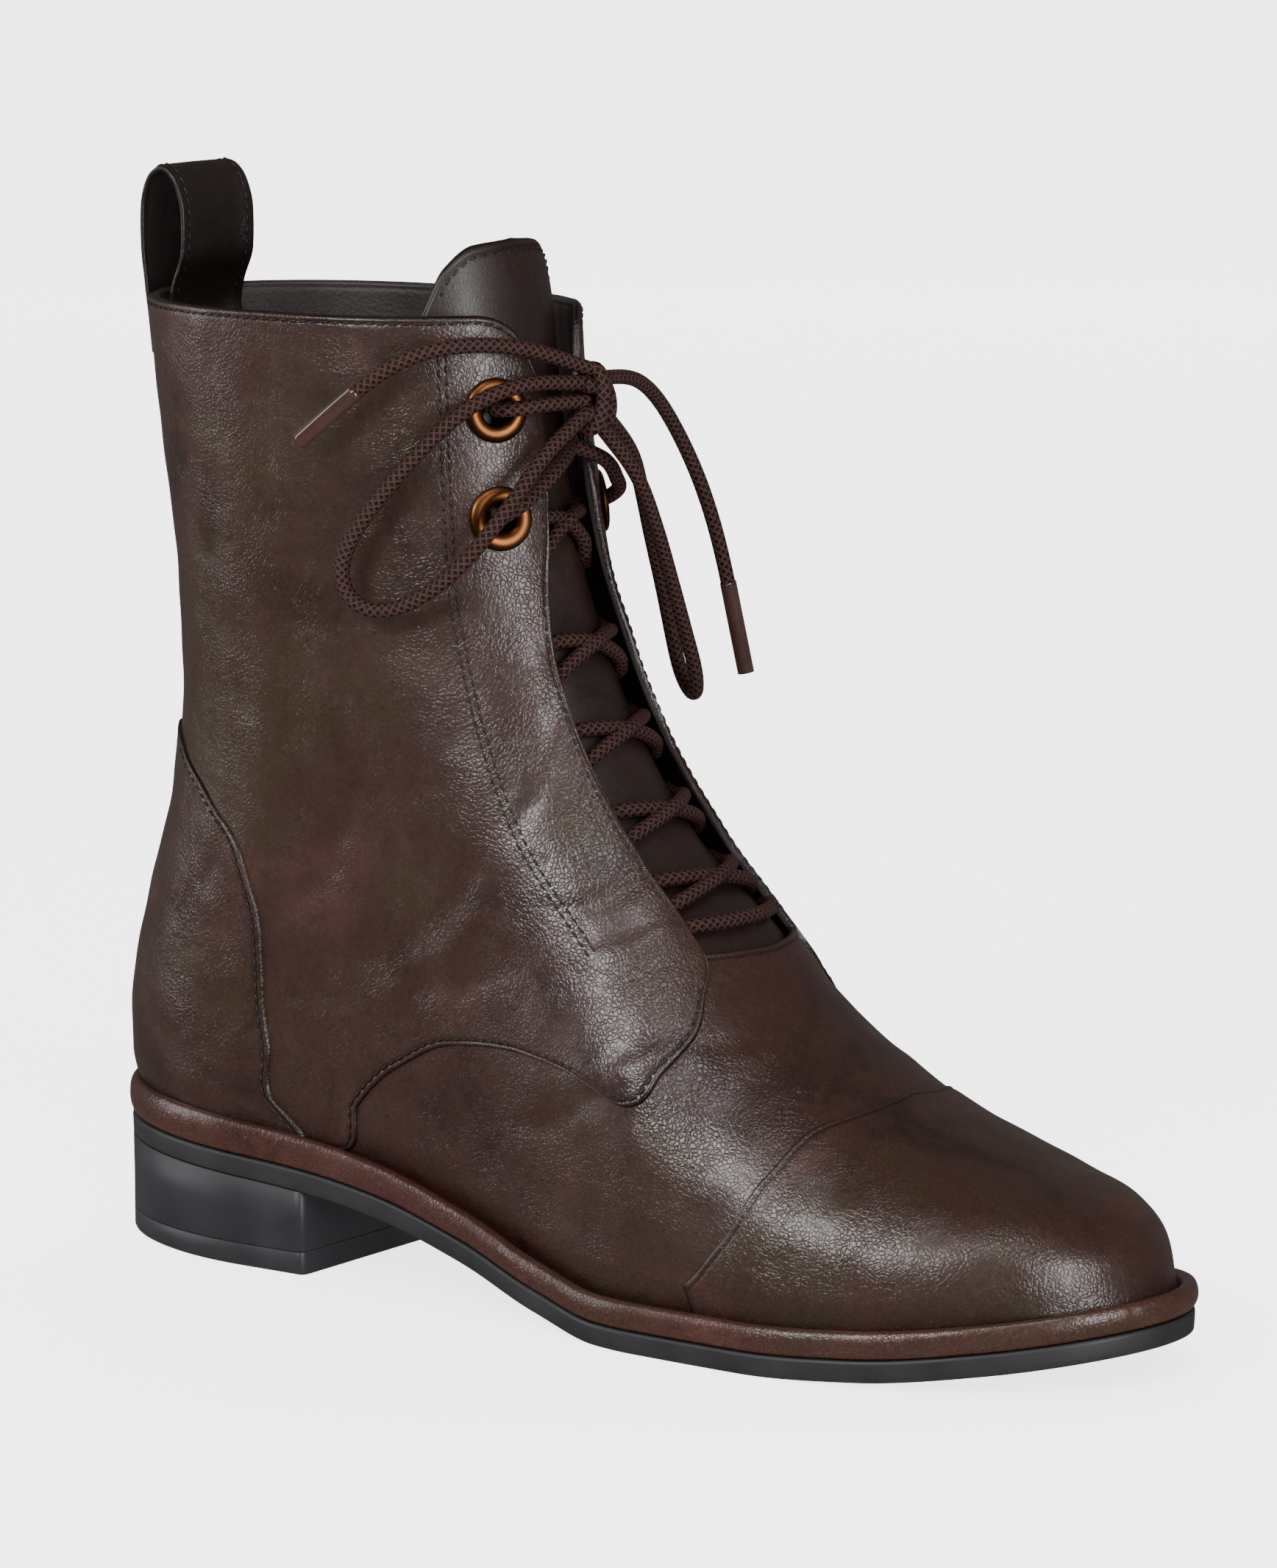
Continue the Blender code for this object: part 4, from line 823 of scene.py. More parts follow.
# %% Rubber, cloth, thread and metal
def plain(name, color, roughness, metallic=0.0, grit=0.5 * MM, strength=0.2, depth=0.08 * MM, vary=0.12,
          coat=0.0):
    """Finish of one colour with a fine grit in its surface and slight clouds in its roughness."""
    made, tree, shader = new_material(name)
    place = add(tree, "ShaderNodeTexCoord")
    fine = add(tree, NOISE, [("Vector", place, "Object")], Scale=per(grit), Detail=3.0)
    clouds = add(tree, NOISE, [("Vector", place, "Object")], Scale=per(12 * MM), Detail=4.0)
    shade = add(tree, RAMP, [("Fac", clouds, "Fac")], ((0.3, grey(0.82)), (0.7, grey(1.15))))
    color_node = add(tree, MIX, [("B", shade, "Color")], data_type="RGBA", blend_type="MULTIPLY", Factor=1.0,
                     A=hex_color(color))
    spread = add(tree, "ShaderNodeMapRange", [("Value", clouds, "Fac")], To_Min=max(roughness - vary, 0.05),
                 To_Max=roughness + vary)
    bump = add(tree, "ShaderNodeBump", [("Height", fine, "Fac")], Strength=strength, Distance=depth)
    tree.links.new(color_node.outputs["Result"], shader.inputs["Base Color"])
    tree.links.new(spread.outputs["Result"], shader.inputs["Roughness"])
    tree.links.new(bump.outputs["Normal"], shader.inputs["Normal"])
    shader.inputs["Metallic"].default_value = metallic
    shader.inputs["Coat Weight"].default_value = coat
    return made


# Stacked rubber, ground and dyed: black, with a low satin sheen on its sides
HEEL_RUBBER = plain("heel_rubber", "#1b1b1e", 0.45, grit=0.5 * MM, strength=0.12)
# Drawn nylon wire: small bright lines on black turns
ZIP_COIL = plain("zip_coil_nylon", "#19171a", 0.35, grit=1 * MM, strength=0.05)
# Rubber from a mould: black and slightly dusty, wider in its highlight than the heel
RUBBER = plain("moulded_rubber", "#18181a", 0.5, grit=0.5 * MM, strength=0.12)
# Dyed pigskin with open pores: dark and matt, it swallows the light inside the shaft
LINING_CLOTH = plain("pigskin_lining", "#241c1c", 0.50, grit=0.7 * MM, strength=0.6, depth=0.2 * MM)
# Waxed thread, pulled tight: darker than the leather, with a small glint on each stitch
THREAD = plain("waxed_thread", "#120b09", 0.42, grit=0.25 * MM, strength=0.4)
# Pressed copper with its plating worn thin: an orange-brown metal highlight
COPPER = plain("worn_copper", "#74482a", 0.36, metallic=1.0, grit=2 * MM, strength=0.06)
# Celluloid film shrunk on the lace's ends: a clear coat with a sharp highlight over the dark cord
CLEAR_TIP = plain("clear_film", "#2c1c18", 0.18, grit=2 * MM, strength=0.05, coat=0.6)
# Woven polyester tape: flat black, with no highlight of its own
ZIP_TAPE = plain("zip_tape_weave", "#171314", 0.8, grit=0.5 * MM, strength=0.5)
# Cast zinc under dark lacquer: a cool grey gloss beside the brown
GUNMETAL = plain("gunmetal_lacquer", "#1d1e21", 0.32, grit=2 * MM, strength=0.05)
print("finishes:", len(bpy.data.materials))

# %% [markdown]
# The lace's strands are too many to model and too coarse for plain noise. They are drawn by waves in a map
# that is measured in millimetres, so they keep their slant on every length of cord.

# %% Waxed braid
def braid(name, dark, light, roughness):
    """Round waxed braid: two families of slanting strands, read from the map in millimetres round and along.

    Each family is a sine of a slanted distance, ten strands round the cord and 1.7 mm to a turn; the
    higher one lies on top.
    """
    made, tree, shader = new_material(name)
    place = add(tree, "ShaderNodeUVMap", uv_map="UVMap")
    waves = []
    for lean in (1, -1):
        slant = add(tree, "ShaderNodeVectorMath", [("Vector", place, "UV")], operation="DOT_PRODUCT")
        slant.inputs[1].default_value = (2 * pi * 0.5, lean * 2 * pi / 1.7, 0)
        waves.append(add(tree, "ShaderNodeMath", [(0, slant, "Value")], operation="SINE"))
    on_top = add(tree, "ShaderNodeMath", [(0, waves[0], "Value"), (1, waves[1], "Value")],
                 operation="MAXIMUM")
    fibre = add(tree, NOISE, [("Vector", place, "UV")], Scale=3.0, Detail=4.0)
    height = add(tree, "ShaderNodeMath", [(0, on_top, "Value"), (1, fibre, "Fac")], operation="ADD")
    # Painted shade: the colour is darker in the gaps between the strands and lighter on their backs
    shade = add(tree, RAMP, [("Fac", on_top, "Value")], ((0.0, hex_color(dark)), (0.85, hex_color(light))))
    bump = add(tree, "ShaderNodeBump", [("Height", height, "Value")], Strength=0.8, Distance=0.22 * MM)
    tree.links.new(shade.outputs["Color"], shader.inputs["Base Color"])
    tree.links.new(bump.outputs["Normal"], shader.inputs["Normal"])
    shader.inputs["Roughness"].default_value = roughness
    shader.inputs["Specular IOR Level"].default_value = 0.25
    return made


# Cotton braided round a core and waxed: a dull brown, lighter on each strand's back than in the gaps, where
# the shade is painted
LACE_CORD = braid("waxed_braid", "#110605", "#301a14", 0.55)
print("braid of", LACE / MM, "mm")

# %% [markdown]
# The camera stands where the photographer stood, low on the outer side in front of the toe, with a long lens
# that keeps the boot's sides nearly parallel, and is aimed at this one boot.

# %% Camera
CAMERA_PLACE = Vector((0.8227, -1.1450, 0.343))
AIM = Vector((0.0, 0.0, 0.108))
LENS = 158.0

camera_data = bpy.data.cameras.new("camera")
camera_data.sensor_fit = "VERTICAL"
camera_data.sensor_height = 36.0
camera_data.lens = LENS
camera_data.clip_start = 0.05
camera = bpy.data.objects.new("camera", camera_data)
camera.location = CAMERA_PLACE
camera.rotation_euler = (AIM - CAMERA_PLACE).to_track_quat("-Z", "Y").to_euler()
bpy.context.scene.collection.objects.link(camera)
bpy.context.scene.camera = camera
print("lens", LENS, "mm, from", round((CAMERA_PLACE - AIM).length, 2), "m")

# %% [markdown]
# The photo was lit by large soft boxes over white paper. Four boxes, at the side, above, in front and on the
# left, give the long soft highlights. A fill and a wide sky light the shadows and the paper but show in no
# reflection, and neither does the paper, because a real studio flags such light off the gloss.

# %% Floor, backdrop and lights
def area_light(name, place, aim, width, height, power):
    """Soft box at place, turned towards aim."""
    data = bpy.data.lights.new(name, "AREA")
    data.shape = "RECTANGLE"
    data.size = width
    data.size_y = height
    data.energy = power
    made = bpy.data.objects.new(name, data)
    made.location = Vector(place)
    made.rotation_euler = (Vector(aim) - Vector(place)).to_track_quat("-Z", "Y").to_euler()
    bpy.context.scene.collection.objects.link(made)
    return made


area_light("side_box", (-0.12, -0.95, 0.74), (0.02, 0, 0.05), 0.46, 0.28, 8)
area_light("top_box", (0.42, -0.50, 1.05), (0.02, 0, 0.08), 0.24, 0.24, 2.2)
area_light("front_box", (1.30, -0.42, 0.40), (0.05, 0, 0.12), 0.28, 0.8, 13.0)
fill = area_light("fill_box", (0.62, -0.95, 0.75), (0.03, 0, 0.08), 0.8, 0.8, 13)
fill.visible_glossy = False      # lifts the shadows without a veil of its own on the leather
area_light("left_box", (-1.3, -0.55, 0.55), (0, 0, 0.12), 0.4, 1.0, 6.0)
sky = area_light("sky_over_floor", (0.0, 0.9, 2.6), (0.0, 0.9, 0.0), 3.0, 3.0, 45)
sky.visible_glossy = False

world = bpy.data.worlds.new("studio")
world.use_nodes = True
world.node_tree.nodes["Background"].inputs["Color"].default_value = hex_color("#f2f2f2")
world.node_tree.nodes["Background"].inputs["Strength"].default_value = 0.12
bpy.context.scene.world = world

turn = np.linspace(0, pi / 2, 24)
profile_y = np.concatenate(([-6.0], 2.2 + 0.9 * np.sin(turn), [3.1]))
profile_z = np.concatenate(([0.0], 0.9 - 0.9 * np.cos(turn), [4.5]))
SWEEP_TURN = radians(35.6)       # the paper faces the camera
side = np.array([np.cos(SWEEP_TURN), np.sin(SWEEP_TURN), 0.0])
ahead = np.array([-np.sin(SWEEP_TURN), np.cos(SWEEP_TURN), 0.0])
sweep = (side * np.array([-7.0, 7.0])[None, :, None] + ahead * profile_y[:, None, None]
         + np.array([0, 0, 1.0]) * profile_z[:, None, None])
# Matt seamless paper: one pale tone, with a little light of its own in place of the many lamps of a studio
PAPER, paper_tree, paper_shader = new_material("seamless_paper")
paper_fibre = add(paper_tree, NOISE, Scale=per(2 * MM))
paper_tone = add(paper_tree, RAMP, [("Fac", paper_fibre, "Fac")],
                 ((0.0, hex_color("#d2d2d2")), (1.0, hex_color("#d4d4d4"))))
paper_tree.links.new(paper_tone.outputs["Color"], paper_shader.inputs["Base Color"])
paper_shader.inputs["Roughness"].default_value = 1.0
paper_shader.inputs["Specular IOR Level"].default_value = 0.0
paper_shader.inputs["Emission Color"].default_value = (1, 1, 1, 1)
paper_shader.inputs["Emission Strength"].default_value = 2.9
floor = grid_object("floor", sweep, PAPER, shift=False)
floor.visible_glossy = False      # like black cards beside the camera: no pale veil over the gloss
print("lights:", len(bpy.data.lights))

# %% [markdown]
# The upper is sewn from panels. A panel's face is the surface lifted by the leather's thickness, and its
# cut edge is folded over and rounds down to what lies beneath. The grid lines crowd together within three
# millimetres of an edge, so the fold stays crisp while the middle stays light.

# %% Panels with rounded edges
NEAR_EDGE = np.array([0, 0.12, 0.28, 0.48, 0.72, 0.96, 1.2, 1.45, 1.7, 2.0, 2.5, 3.2]) * MM
FOLD = 1.0 * MM                  # radius of a folded edge
SEAM_INSET = 1.5 * MM            # the row of stitches runs this far behind the edge
SEAM_GROOVE = 0.16 * MM          # the thread pulls the leather in by this much
GROOVE_WIDTH = 0.45 * MM
# Painted shade along a folded edge and a painted highlight on its crest: how dark, how far from the edge, how
# wide
PAINTED_EDGE_LINES = (
    (0.90, 0.0, 0.45 * MM),      # at its foot
    (0.62, SEAM_INSET, 0.42 * MM),   # in the stitched groove
    (-0.25, 0.9 * MM, 0.25 * MM),    # painted highlight on the crest
)


def crowded(length, middle):
    """Shares 0 to 1 along each length in an array: NEAR_EDGE from both ends, evenly spaced between.

    Short lengths use the same steps, shrunk so that both ends fit in.
    """
    length = np.atleast_1d(np.asarray(length, dtype=float))
    shrink = np.minimum(1.0, 0.4 * length / NEAR_EDGE[-1])
    near = NEAR_EDGE[:, None] * shrink / np.maximum(length, 1e-9)
    between = near[-1] + (1 - 2 * near[-1]) * np.linspace(0, 1, middle + 2)[1:-1, None]
    return np.concatenate([near, between, 1 - near[::-1]])


def way_from_start(points, axis):
    """Length along the grid lines from the first row or column."""
    steps = np.linalg.norm(np.diff(points, axis=axis), axis=-1)
    start = np.zeros_like(np.take(steps, [0], axis=axis))
    return np.concatenate([start, np.cumsum(steps, axis=axis)], axis=axis)


def fold_down(points, drops, radius=FOLD):
    """How far the face sinks at each point of a grid: a quarter ellipse at each folded edge.

    drops holds the depth at the low, high, start and end edge; 0 leaves an edge as it is.
    """
    rise = way_from_start(points, 0)
    run = way_from_start(points, 1)
    distances = (rise, rise[-1:] - rise, run, run[:, -1:] - run)
    sunk = np.zeros(points.shape[:2])
    for distance, drop in zip(distances, drops):
        inside = np.clip(1 - distance / radius, 0, 1)
        groove = SEAM_GROOVE * np.exp(-((distance - SEAM_INSET) / GROOVE_WIDTH) ** 2) if drop else 0.0
        sunk = np.maximum(sunk, drop * (1 - np.sqrt(1 - inside**2)) + groove)
    return sunk


def painted_shade_along_edges(points, drops):
    """Painted shade and highlight along folded edges: the sum of the edge lines above at the edge that counts
    most.
    """
    rise = way_from_start(points, 0)
    run = way_from_start(points, 1)
    dark = np.zeros(points.shape[:2])
    for distance, drop in zip((rise, rise[-1:] - rise, run, run[:, -1:] - run), drops):
        if drop:
            painted_sum = sum(depth * np.exp(-((distance - place) / width) ** 2) for depth, place, width in PAINTED_EDGE_LINES)
            dark = np.where(np.abs(painted_sum) > np.abs(dark), painted_sum, dark)
    return dark


def store(made, name, values):
    """Keeps one number for each point of a mesh, for its material to read."""
    layer = made.data.attributes.new(name, "FLOAT", "POINT")
    layer.data.foreach_set("value", np.ascontiguousarray(values, dtype=np.float32).ravel())
    return made


# Main creases of the worn-in leather: height share c, way round a (minus is the outer side), turn from
# level in degrees, length, width and depth in millimetres
CREASES = (
    (0.600, -0.330, 62, 46, 9, -0.25),
    (0.560, -0.440, 40, 52, 10, -0.25),
    (0.500, -0.520, 25, 60, 12, -0.30),
    (0.470, -0.600, 18, 46, 10, -0.30),
    (0.430, -0.480, 28, 44, 10, 0.30),
    (0.540, -0.630, 55, 40, 9, 0.30),
    (0.640, -0.520, 70, 50, 12, -0.20),
    (0.740, -0.420, 80, 50, 13, 0.15),
    (0.820, -0.330, 86, 44, 12, -0.15),
    (0.700, -0.840, 80, 50, 7, -0.35),
    (0.560, -0.820, 30, 26, 7, -0.45),
    (0.510, -0.800, 20, 24, 7, 0.40),
    (0.600, 0.330, 60, 46, 9, -0.50),
    (0.540, 0.400, 38, 50, 10, -0.50),
    (0.500, 0.620, 20, 50, 10, -0.50),
    (0.450, 0.560, 24, 46, 9, 0.40),
    (0.640, 0.620, 70, 46, 11, 0.35),
    (0.420, -0.900, 8, 40, 8, -0.45),
    (0.440, 0.960, 5, 44, 8, -0.50),
    (0.400, -0.760, 26, 34, 8, 0.40),
    (0.330, -0.640, 35, 40, 9, -0.35),
    (0.310, 0.700, 30, 40, 9, -0.35),
    (0.360, 1.000, 0, 50, 9, 0.35),
)


def undulation(points):
    """Height of the creases and soft dents at each point: each crease is a bell across its line, fading
    towards its ends, and a few long waves run under them.
    """
    height = np.zeros(points.shape[:2])
    for crease_c, crease_a, turn, length, width, depth in CREASES:
        middle = last_point(crease_c, crease_a)
        out = outward(crease_c, crease_a)
        level_way = np.cross((0, 0, 1.0), out)
        level_way /= np.linalg.norm(level_way)
        upward = np.cross(out, level_way)
        along = np.cos(radians(turn)) * level_way + np.sin(radians(turn)) * upward
        across = np.cross(out, along)
        away = points - middle
        s = away @ along / (length * MM / 2)
        bow = 0.16 * length * MM * s**2
        w = (away @ across - bow) / (width * MM / 2)
        deep = away @ out / (14 * MM)
        height += depth * MM * np.exp(-2 * w**2) * np.exp(-(s**4)) * np.exp(-(deep**4))
    x, y, z = np.moveaxis(points / MM, -1, 0)
    height += 0.16 * MM * np.sin(x / 7.1 + 0.6 * np.sin(z / 9.0)) * np.sin(z / 8.3 + 0.5 * np.sin(y / 6.0))
    height += 0.10 * MM * np.sin(x / 3.3 + z / 5.2 + 1.3 * np.sin(y / 7.0)) * np.sin(z / 3.9 - x / 6.1)
    return height


def facing(name, points, away, look, close_cols=False, cut=None):
    """Object from a grid of points, its faces turned so that they look along the directions in away.

    cut may leave out some of the faces.
    """
    i, j = points.shape[0] // 2, points.shape[1] // 2
    normal = np.cross(points[i, j + 1] - points[i, j], points[i + 1, j] - points[i, j])
    made = grid_object(name, points, look, close_cols=close_cols, flip=bool(normal @ away[i, j] < 0), cut=cut)
    print(name, points.shape[:2])
    return made


def panel(name, c, a, level, look, drops=(0, 0, 0, 0), wave=1.0, closed=False, inside=False, cut=None):
    """Panel over grids of c and a at a level above the wall, folded down along its edges."""
    c, a = np.broadcast_arrays(np.asarray(c, dtype=float), np.asarray(a, dtype=float))
    flat = last_point(c, a)
    out = outward(c, a)
    sunk = fold_down(flat, drops) if any(drops) else 0.0
    height = np.broadcast_to(level, c.shape) - sunk + wave * undulation(flat)
    made = facing(name, flat + out * height[..., None], -out if inside else out, look, closed, cut)
    return store(made, "painted_edge_shading", painted_shade_along_edges(flat, drops))


def keep(piece, *nodes, slot=None, body=BOOT):
    """Lets a piece ride on a body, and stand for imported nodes."""
    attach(piece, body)
    if nodes:
        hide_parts(*nodes)
    return piece


# %% [markdown]
# The vamp is the front of the upper. It is drawn over the last from the sole up to the throat, and runs
# under the quarters on both sides, so its own edges are hidden except at the throat.

# %% Vamp and the wall under the panels
SINK = 1.25                      # how far a folded edge goes down, as a share of the panel's height
VAMP_DROP = 0.9 * MM             # how far the vamp's edge goes down at the throat


def throat_edge(a):
    """Height share of the vamp's upper edge at way round a."""
    across, low = columns(THROAT_LOWER)
    seam_c, seam_a = columns(FLAP_SEAM)
    return follow(np.abs(1 - np.abs(a)) / (1 - follow(0.5, seam_c, seam_a)), across, low)


a = np.linspace(0.30, 1.70, 330)
rows = crowded(np.full(a.shape, 0.10), 120)
top = np.where(np.abs(a - 1) < 0.30, throat_edge(np.where(a > 1, 2 - a, a)), 0.56)
c = rows * top[None, :]
vamp = panel("vamp", c, a[None, :], 0.0, UPPER_LEATHER, drops=(0, VAMP_DROP, 0, 0))
keep(vamp, "upper", slot="brown_leather")

a = np.linspace(-0.36, 0.36, 90)
c = np.linspace(0.0, 0.9, 60)[:, None]
wall_back = panel("wall_back", c, a[None, :], -0.15 * MM, UPPER_LEATHER, wave=0.3)
keep(wall_back, "upper", slot="brown_leather")

# %% [markdown]
# The toe cap is a second layer over the vamp, with a folded edge that arches back over the toes. A bump map
# could only hint at it; a panel of its own gives the edge a real step and shadow.

# %% Toe cap
def toe_cap_edge(t):
    """Height share of the cap's edge at t, from -1 to 1 round the toe."""
    share, cap_c = columns(TOE_CAP_EDGE)
    return follow(np.abs(t), share, cap_c)


CAP_LIFT = 0.55 * MM             # the cap's face over the vamp's
CAP_END_DROP = 0.4 * MM          # at its two ends, down by the sole
t = np.linspace(-1, 1, 260)
a = 1 + t * TOE_CAP_SPREAD
high = np.maximum(toe_cap_edge(t), 0.05)
length = np.linalg.norm(last_point(high, a) - last_point(np.zeros_like(a), a), axis=-1)
c = crowded(length, 90) * high
cap = panel("toe_cap", c, a[None, :], CAP_LIFT, UPPER_LEATHER,
            drops=(0, SINK * CAP_LIFT, CAP_END_DROP, CAP_END_DROP))
keep(cap, "upper", slot="brown_leather")

# %% [markdown]
# The quarters are the two side panels. Each runs from the back seam to its lace flap. Its lower edge is
# the long curve over the vamp, its front edge is the flap's free edge and its upper edge is the collar.
# On the inner side the zip's slot parts the quarter: its grid has a line along each side of the slot, and
# the cells between them are left out.

# %% Quarters and flaps
EYELET_WAYS = [("outer_" + number, c, -a) for number, c, a in EYELETS]
EYELET_WAYS += [("inner_" + number, c, a - INNER_EYELET_SHIFT) for number, c, a in EYELETS]


def punched(points, faces):
    """Leaves out the cells of a grid that lie in an eyelet's hole; the eyelet's rim hides the cut."""
    flat = points.reshape(-1, 3)
    middle = flat[faces].mean(axis=1)
    kept = np.ones(len(faces), dtype=bool)
    for name, c, a in EYELET_WAYS:
        kept &= np.linalg.norm(middle - last_point(c, a), axis=1) > EYELET_HOLE / 2
    return faces[kept]


COLLAR_DROP = 1.35 * MM          # the collar's edge rolls over half its thickness
FLAP_DROP = 1.0 * MM
SLOT_DROP = 1.5 * MM
QUARTER_DROPS = (SINK * PANEL, COLLAR_DROP, 0, FLAP_DROP)


def quarter_low(share_round):
    """Height share of a quarter's lower edge at a share of the way to the flap's front."""
    share, low_edge = columns(QUARTER_LOWER)
    rounding = 0.040 * (1 - np.sqrt(1 - np.clip((share_round - 0.93) / 0.07, 0, 1) ** 2))
    return np.where(share_round < share[1], 0.0, follow(share_round, share, low_edge) + rounding)


def quarter_high(share_round):
    """Height share of its upper edge there; both edges round off at the flap's corners."""
    share, high_edge = columns(QUARTER_UPPER)
    rounding = 0.026 * (1 - np.sqrt(1 - np.clip((share_round - 0.91) / 0.09, 0, 1) ** 2))
    return follow(share_round, share, high_edge) - rounding


def slot_edges(c):
    """Way round of both sides of the zip's slot at c, on the inner side."""
    line_c, line_a = columns(ZIP_LINE)
    depth_x = last_point(c, np.ones_like(c))[..., 0] - last_point(c, np.zeros_like(c))[..., 0]
    spread = ZIP_SLOT / 2 / (pi / 2 * depth_x)
    middle = follow(c, line_c, line_a)
    return middle - spread, middle + spread


def quarter_grid(side, share_round, row_shares):
    """Grids of c and a of a quarter; row_shares is one column of shares for each place round."""
    low, high = quarter_low(share_round), quarter_high(share_round)
    c = low + (high - low) * row_shares
    return c, side * share_round * way_round_front(c, side)


def column_length(side, share_round):
    """Length over the surface from a quarter's lower to its upper edge."""
    low, high = quarter_low(share_round), quarter_high(share_round)
    around = share_round * way_round_front((low + high) / 2, side)
    return np.linalg.norm(last_point(high, side * around) - last_point(low, side * around), axis=-1)


share_round = crowded(150 * MM, 200)[:, 0]
rows = crowded(column_length(-1, share_round), 170)
c, a = quarter_grid(-1, share_round, rows)
quarter = panel("quarter_outer", c, a, PANEL, UPPER_LEATHER,
                drops=QUARTER_DROPS, cut=punched)
keep(quarter, "upper", slot="brown_leather")

back_shares = 0.57 * crowded(70 * MM, 70)[:, 0]
front_shares = 0.60 + 0.40 * crowded(60 * MM, 80)[:, 0]
share_round = np.concatenate([back_shares, front_shares])
split = 0.08                     # share of a column's height at which the slot ends
rows_low = crowded(np.full(share_round.shape, 12 * MM), 8) * split
rows_high = split + (1 - split) * crowded(np.full(share_round.shape, 145 * MM), 150)
rows = np.concatenate([rows_low[:-1], rows_high])
last_back = len(back_shares) - 1
to_slot = back_shares / back_shares[-1]
from_slot = (front_shares - front_shares[0]) / (1 - front_shares[0])
# The edges are read at each column's place round, which the slot moves a little: a few rounds settle it
place_round = share_round
for _ in range(4):
    low = quarter_low(place_round)
    c = low + (quarter_high(place_round) - low) * rows
    before, after = slot_edges(c)
    front_way = way_round_front(c, 1)
    to_front = after + (front_way - after) * np.concatenate([0 * to_slot, from_slot])
    a = np.concatenate([before[:, :last_back + 1] * to_slot, to_front[:, last_back + 1:]], axis=1)
    place_round = a[0] / front_way[0]
flat = last_point(c, a)
rise, run = way_from_start(flat, 0), way_from_start(flat, 1)
slot_row = len(rows_low) - 1
column = np.arange(len(share_round))
beside = np.where(column <= last_back, run[:, [last_back]] - run, run - run[:, [last_back + 1]])
below = np.maximum(rise[[slot_row]] - rise, 0)
near_slot = np.clip(1 - np.hypot(np.maximum(beside, 0), below) / FOLD, 0, 1)
sunk = np.maximum(fold_down(flat, QUARTER_DROPS), SLOT_DROP * (1 - np.sqrt(1 - near_slot**2)))
height = PANEL - sunk + undulation(flat)
points = flat + outward(c, a) * height[..., None]
faces = grid_faces(*c.shape)[:, ::-1].reshape(c.shape[0] - 1, c.shape[1] - 1, 4)
kept = np.ones(faces.shape[:2], dtype=bool)
kept[slot_row:, last_back] = False
quarter_inner = mesh_object("quarter_inner", points.reshape(-1, 3) - CENTRE, punched(points, faces[kept]),
                            UPPER_LEATHER)
# Painted shade at the foot of the slot's folded edges
painted_slot_shade = 0.75 * np.exp(-((1 - near_slot) * FOLD / (0.30 * MM)) ** 2) * (near_slot > 0)
store(quarter_inner, "painted_edge_shading", np.maximum(painted_shade_along_edges(flat, QUARTER_DROPS), painted_slot_shade))
keep(quarter_inner, "upper", slot="brown_leather")
print("quarter_inner", c.shape, "slot from c", round(float(c[slot_row, last_back]), 3))

# %% [markdown]
# The lining is the inside of the wall, a matt dark pigskin. Its upper edge meets the folded collar, and
# on each flap it runs to the free front edge.

# %% Lining
a = np.linspace(-1, 1, 241)[:-1]
c = np.linspace(0.0, 0.50, 70)[:, None]
lining_foot = panel("lining_foot", c, a[None, :], -WALL, LINING_CLOTH, wave=0.0, closed=True, inside=True)
keep(lining_foot, "upper", slot="brown_leather")


def side_lining(side):
    """Inner face of a quarter over the foot, thin in the flap, rolled out at the collar and the flap."""
    share_round = crowded(150 * MM, 110)[:, 0]
    high = quarter_high(share_round)
    low = np.maximum(0.46, quarter_low(share_round))
    c = low + (high - low) * crowded(np.full(share_round.shape, 130 * MM), 90)
    a = share_round * way_round_front(c, side)
    seam = follow(c, *columns(FLAP_SEAM))
    level = -WALL + (WALL - FLAP_INNER) * ease((a - seam + 0.03) / 0.03)
    flat = last_point(c, side * a)
    rolled = fold_down(flat, (0.0, WALL - PANEL / 2, 0, FLAP_INNER - PANEL / 9))
    points = flat + outward(c, side * a) * (level + rolled)[..., None]
    name = "lining_outer" if side < 0 else "lining_inner"
    made = facing(name, points, -outward(c, side * a), LINING_CLOTH, cut=punched)
    return keep(made, "upper", slot="brown_leather")


for side in (-1, 1):
    side_lining(side)

# %% [markdown]
# The heel counter is one overlay round the back with a curved upper edge; the back strip runs over it up
# to the collar and hides the seam of the two quarters.

# %% Counter and back strip
edge_c, edge_a = columns(COUNTER_EDGE)
c_line = np.concatenate([np.linspace(0, 0.5, 50), 0.5 + (edge_c[-1] - 0.5) * np.linspace(0, 1, 80)[1:]])
t = 2 * crowded(120 * MM, 170)[:, 0] - 1
a = t[None, :] * follow(c_line, edge_c, edge_a)[:, None]
counter = panel("counter", c_line[:, None], a, COUNTER_STEP, UPPER_LEATHER, drops=(0,) + (1.2 * MM,) * 3)
keep(counter, "upper", slot="brown_leather")

c_line = np.linspace(0.30, 0.985, 150)
half = way_at_width(c_line, BACKSTAY_WIDTH / 2)
t = 2 * crowded(BACKSTAY_WIDTH, 16)[:, 0] - 1
over_counter = 1 - ease((c_line - 0.70) / 0.04)
face = PANEL + (COUNTER_STEP - PANEL) * over_counter + BACKSTAY_STEP
backstay = panel("back_strip", c_line[:, None], t[None, :] * half[:, None], face[:, None], UPPER_LEATHER,
                 wave=0.3, drops=(1.0 * MM,) * 4)
keep(backstay, "upper", slot="brown_leather")

# %% [markdown]
# The tongue is a thick smooth strap behind the laces. It stands proud of the collar, and its top curls
# back a little over the ankle.

# %% Tongue
CURL = 3.0 * MM                  # how far the top leans back


def tongue_grid(t, rows):
    """Grids of c and a over the tongue: t is the share of its half width, rows the shares of its length."""
    share, top = columns(TONGUE_UPPER)
    c = TONGUE_FROM + (follow(np.abs(t), share, top) - TONGUE_FROM) * rows
    return c, np.broadcast_to(1 + t * TONGUE_SPREAD, c.shape)


def tongue_point(c, a, level):
    """Point at a level over the tongue's front face, with the curl at its top."""
    curl = CURL * np.clip((c - 0.985) / 0.065, 0, 1) ** 2
    lift = level - tongue_depth(c) - curl
    return last_point(c, a) + outward(c, a) * lift[..., None]


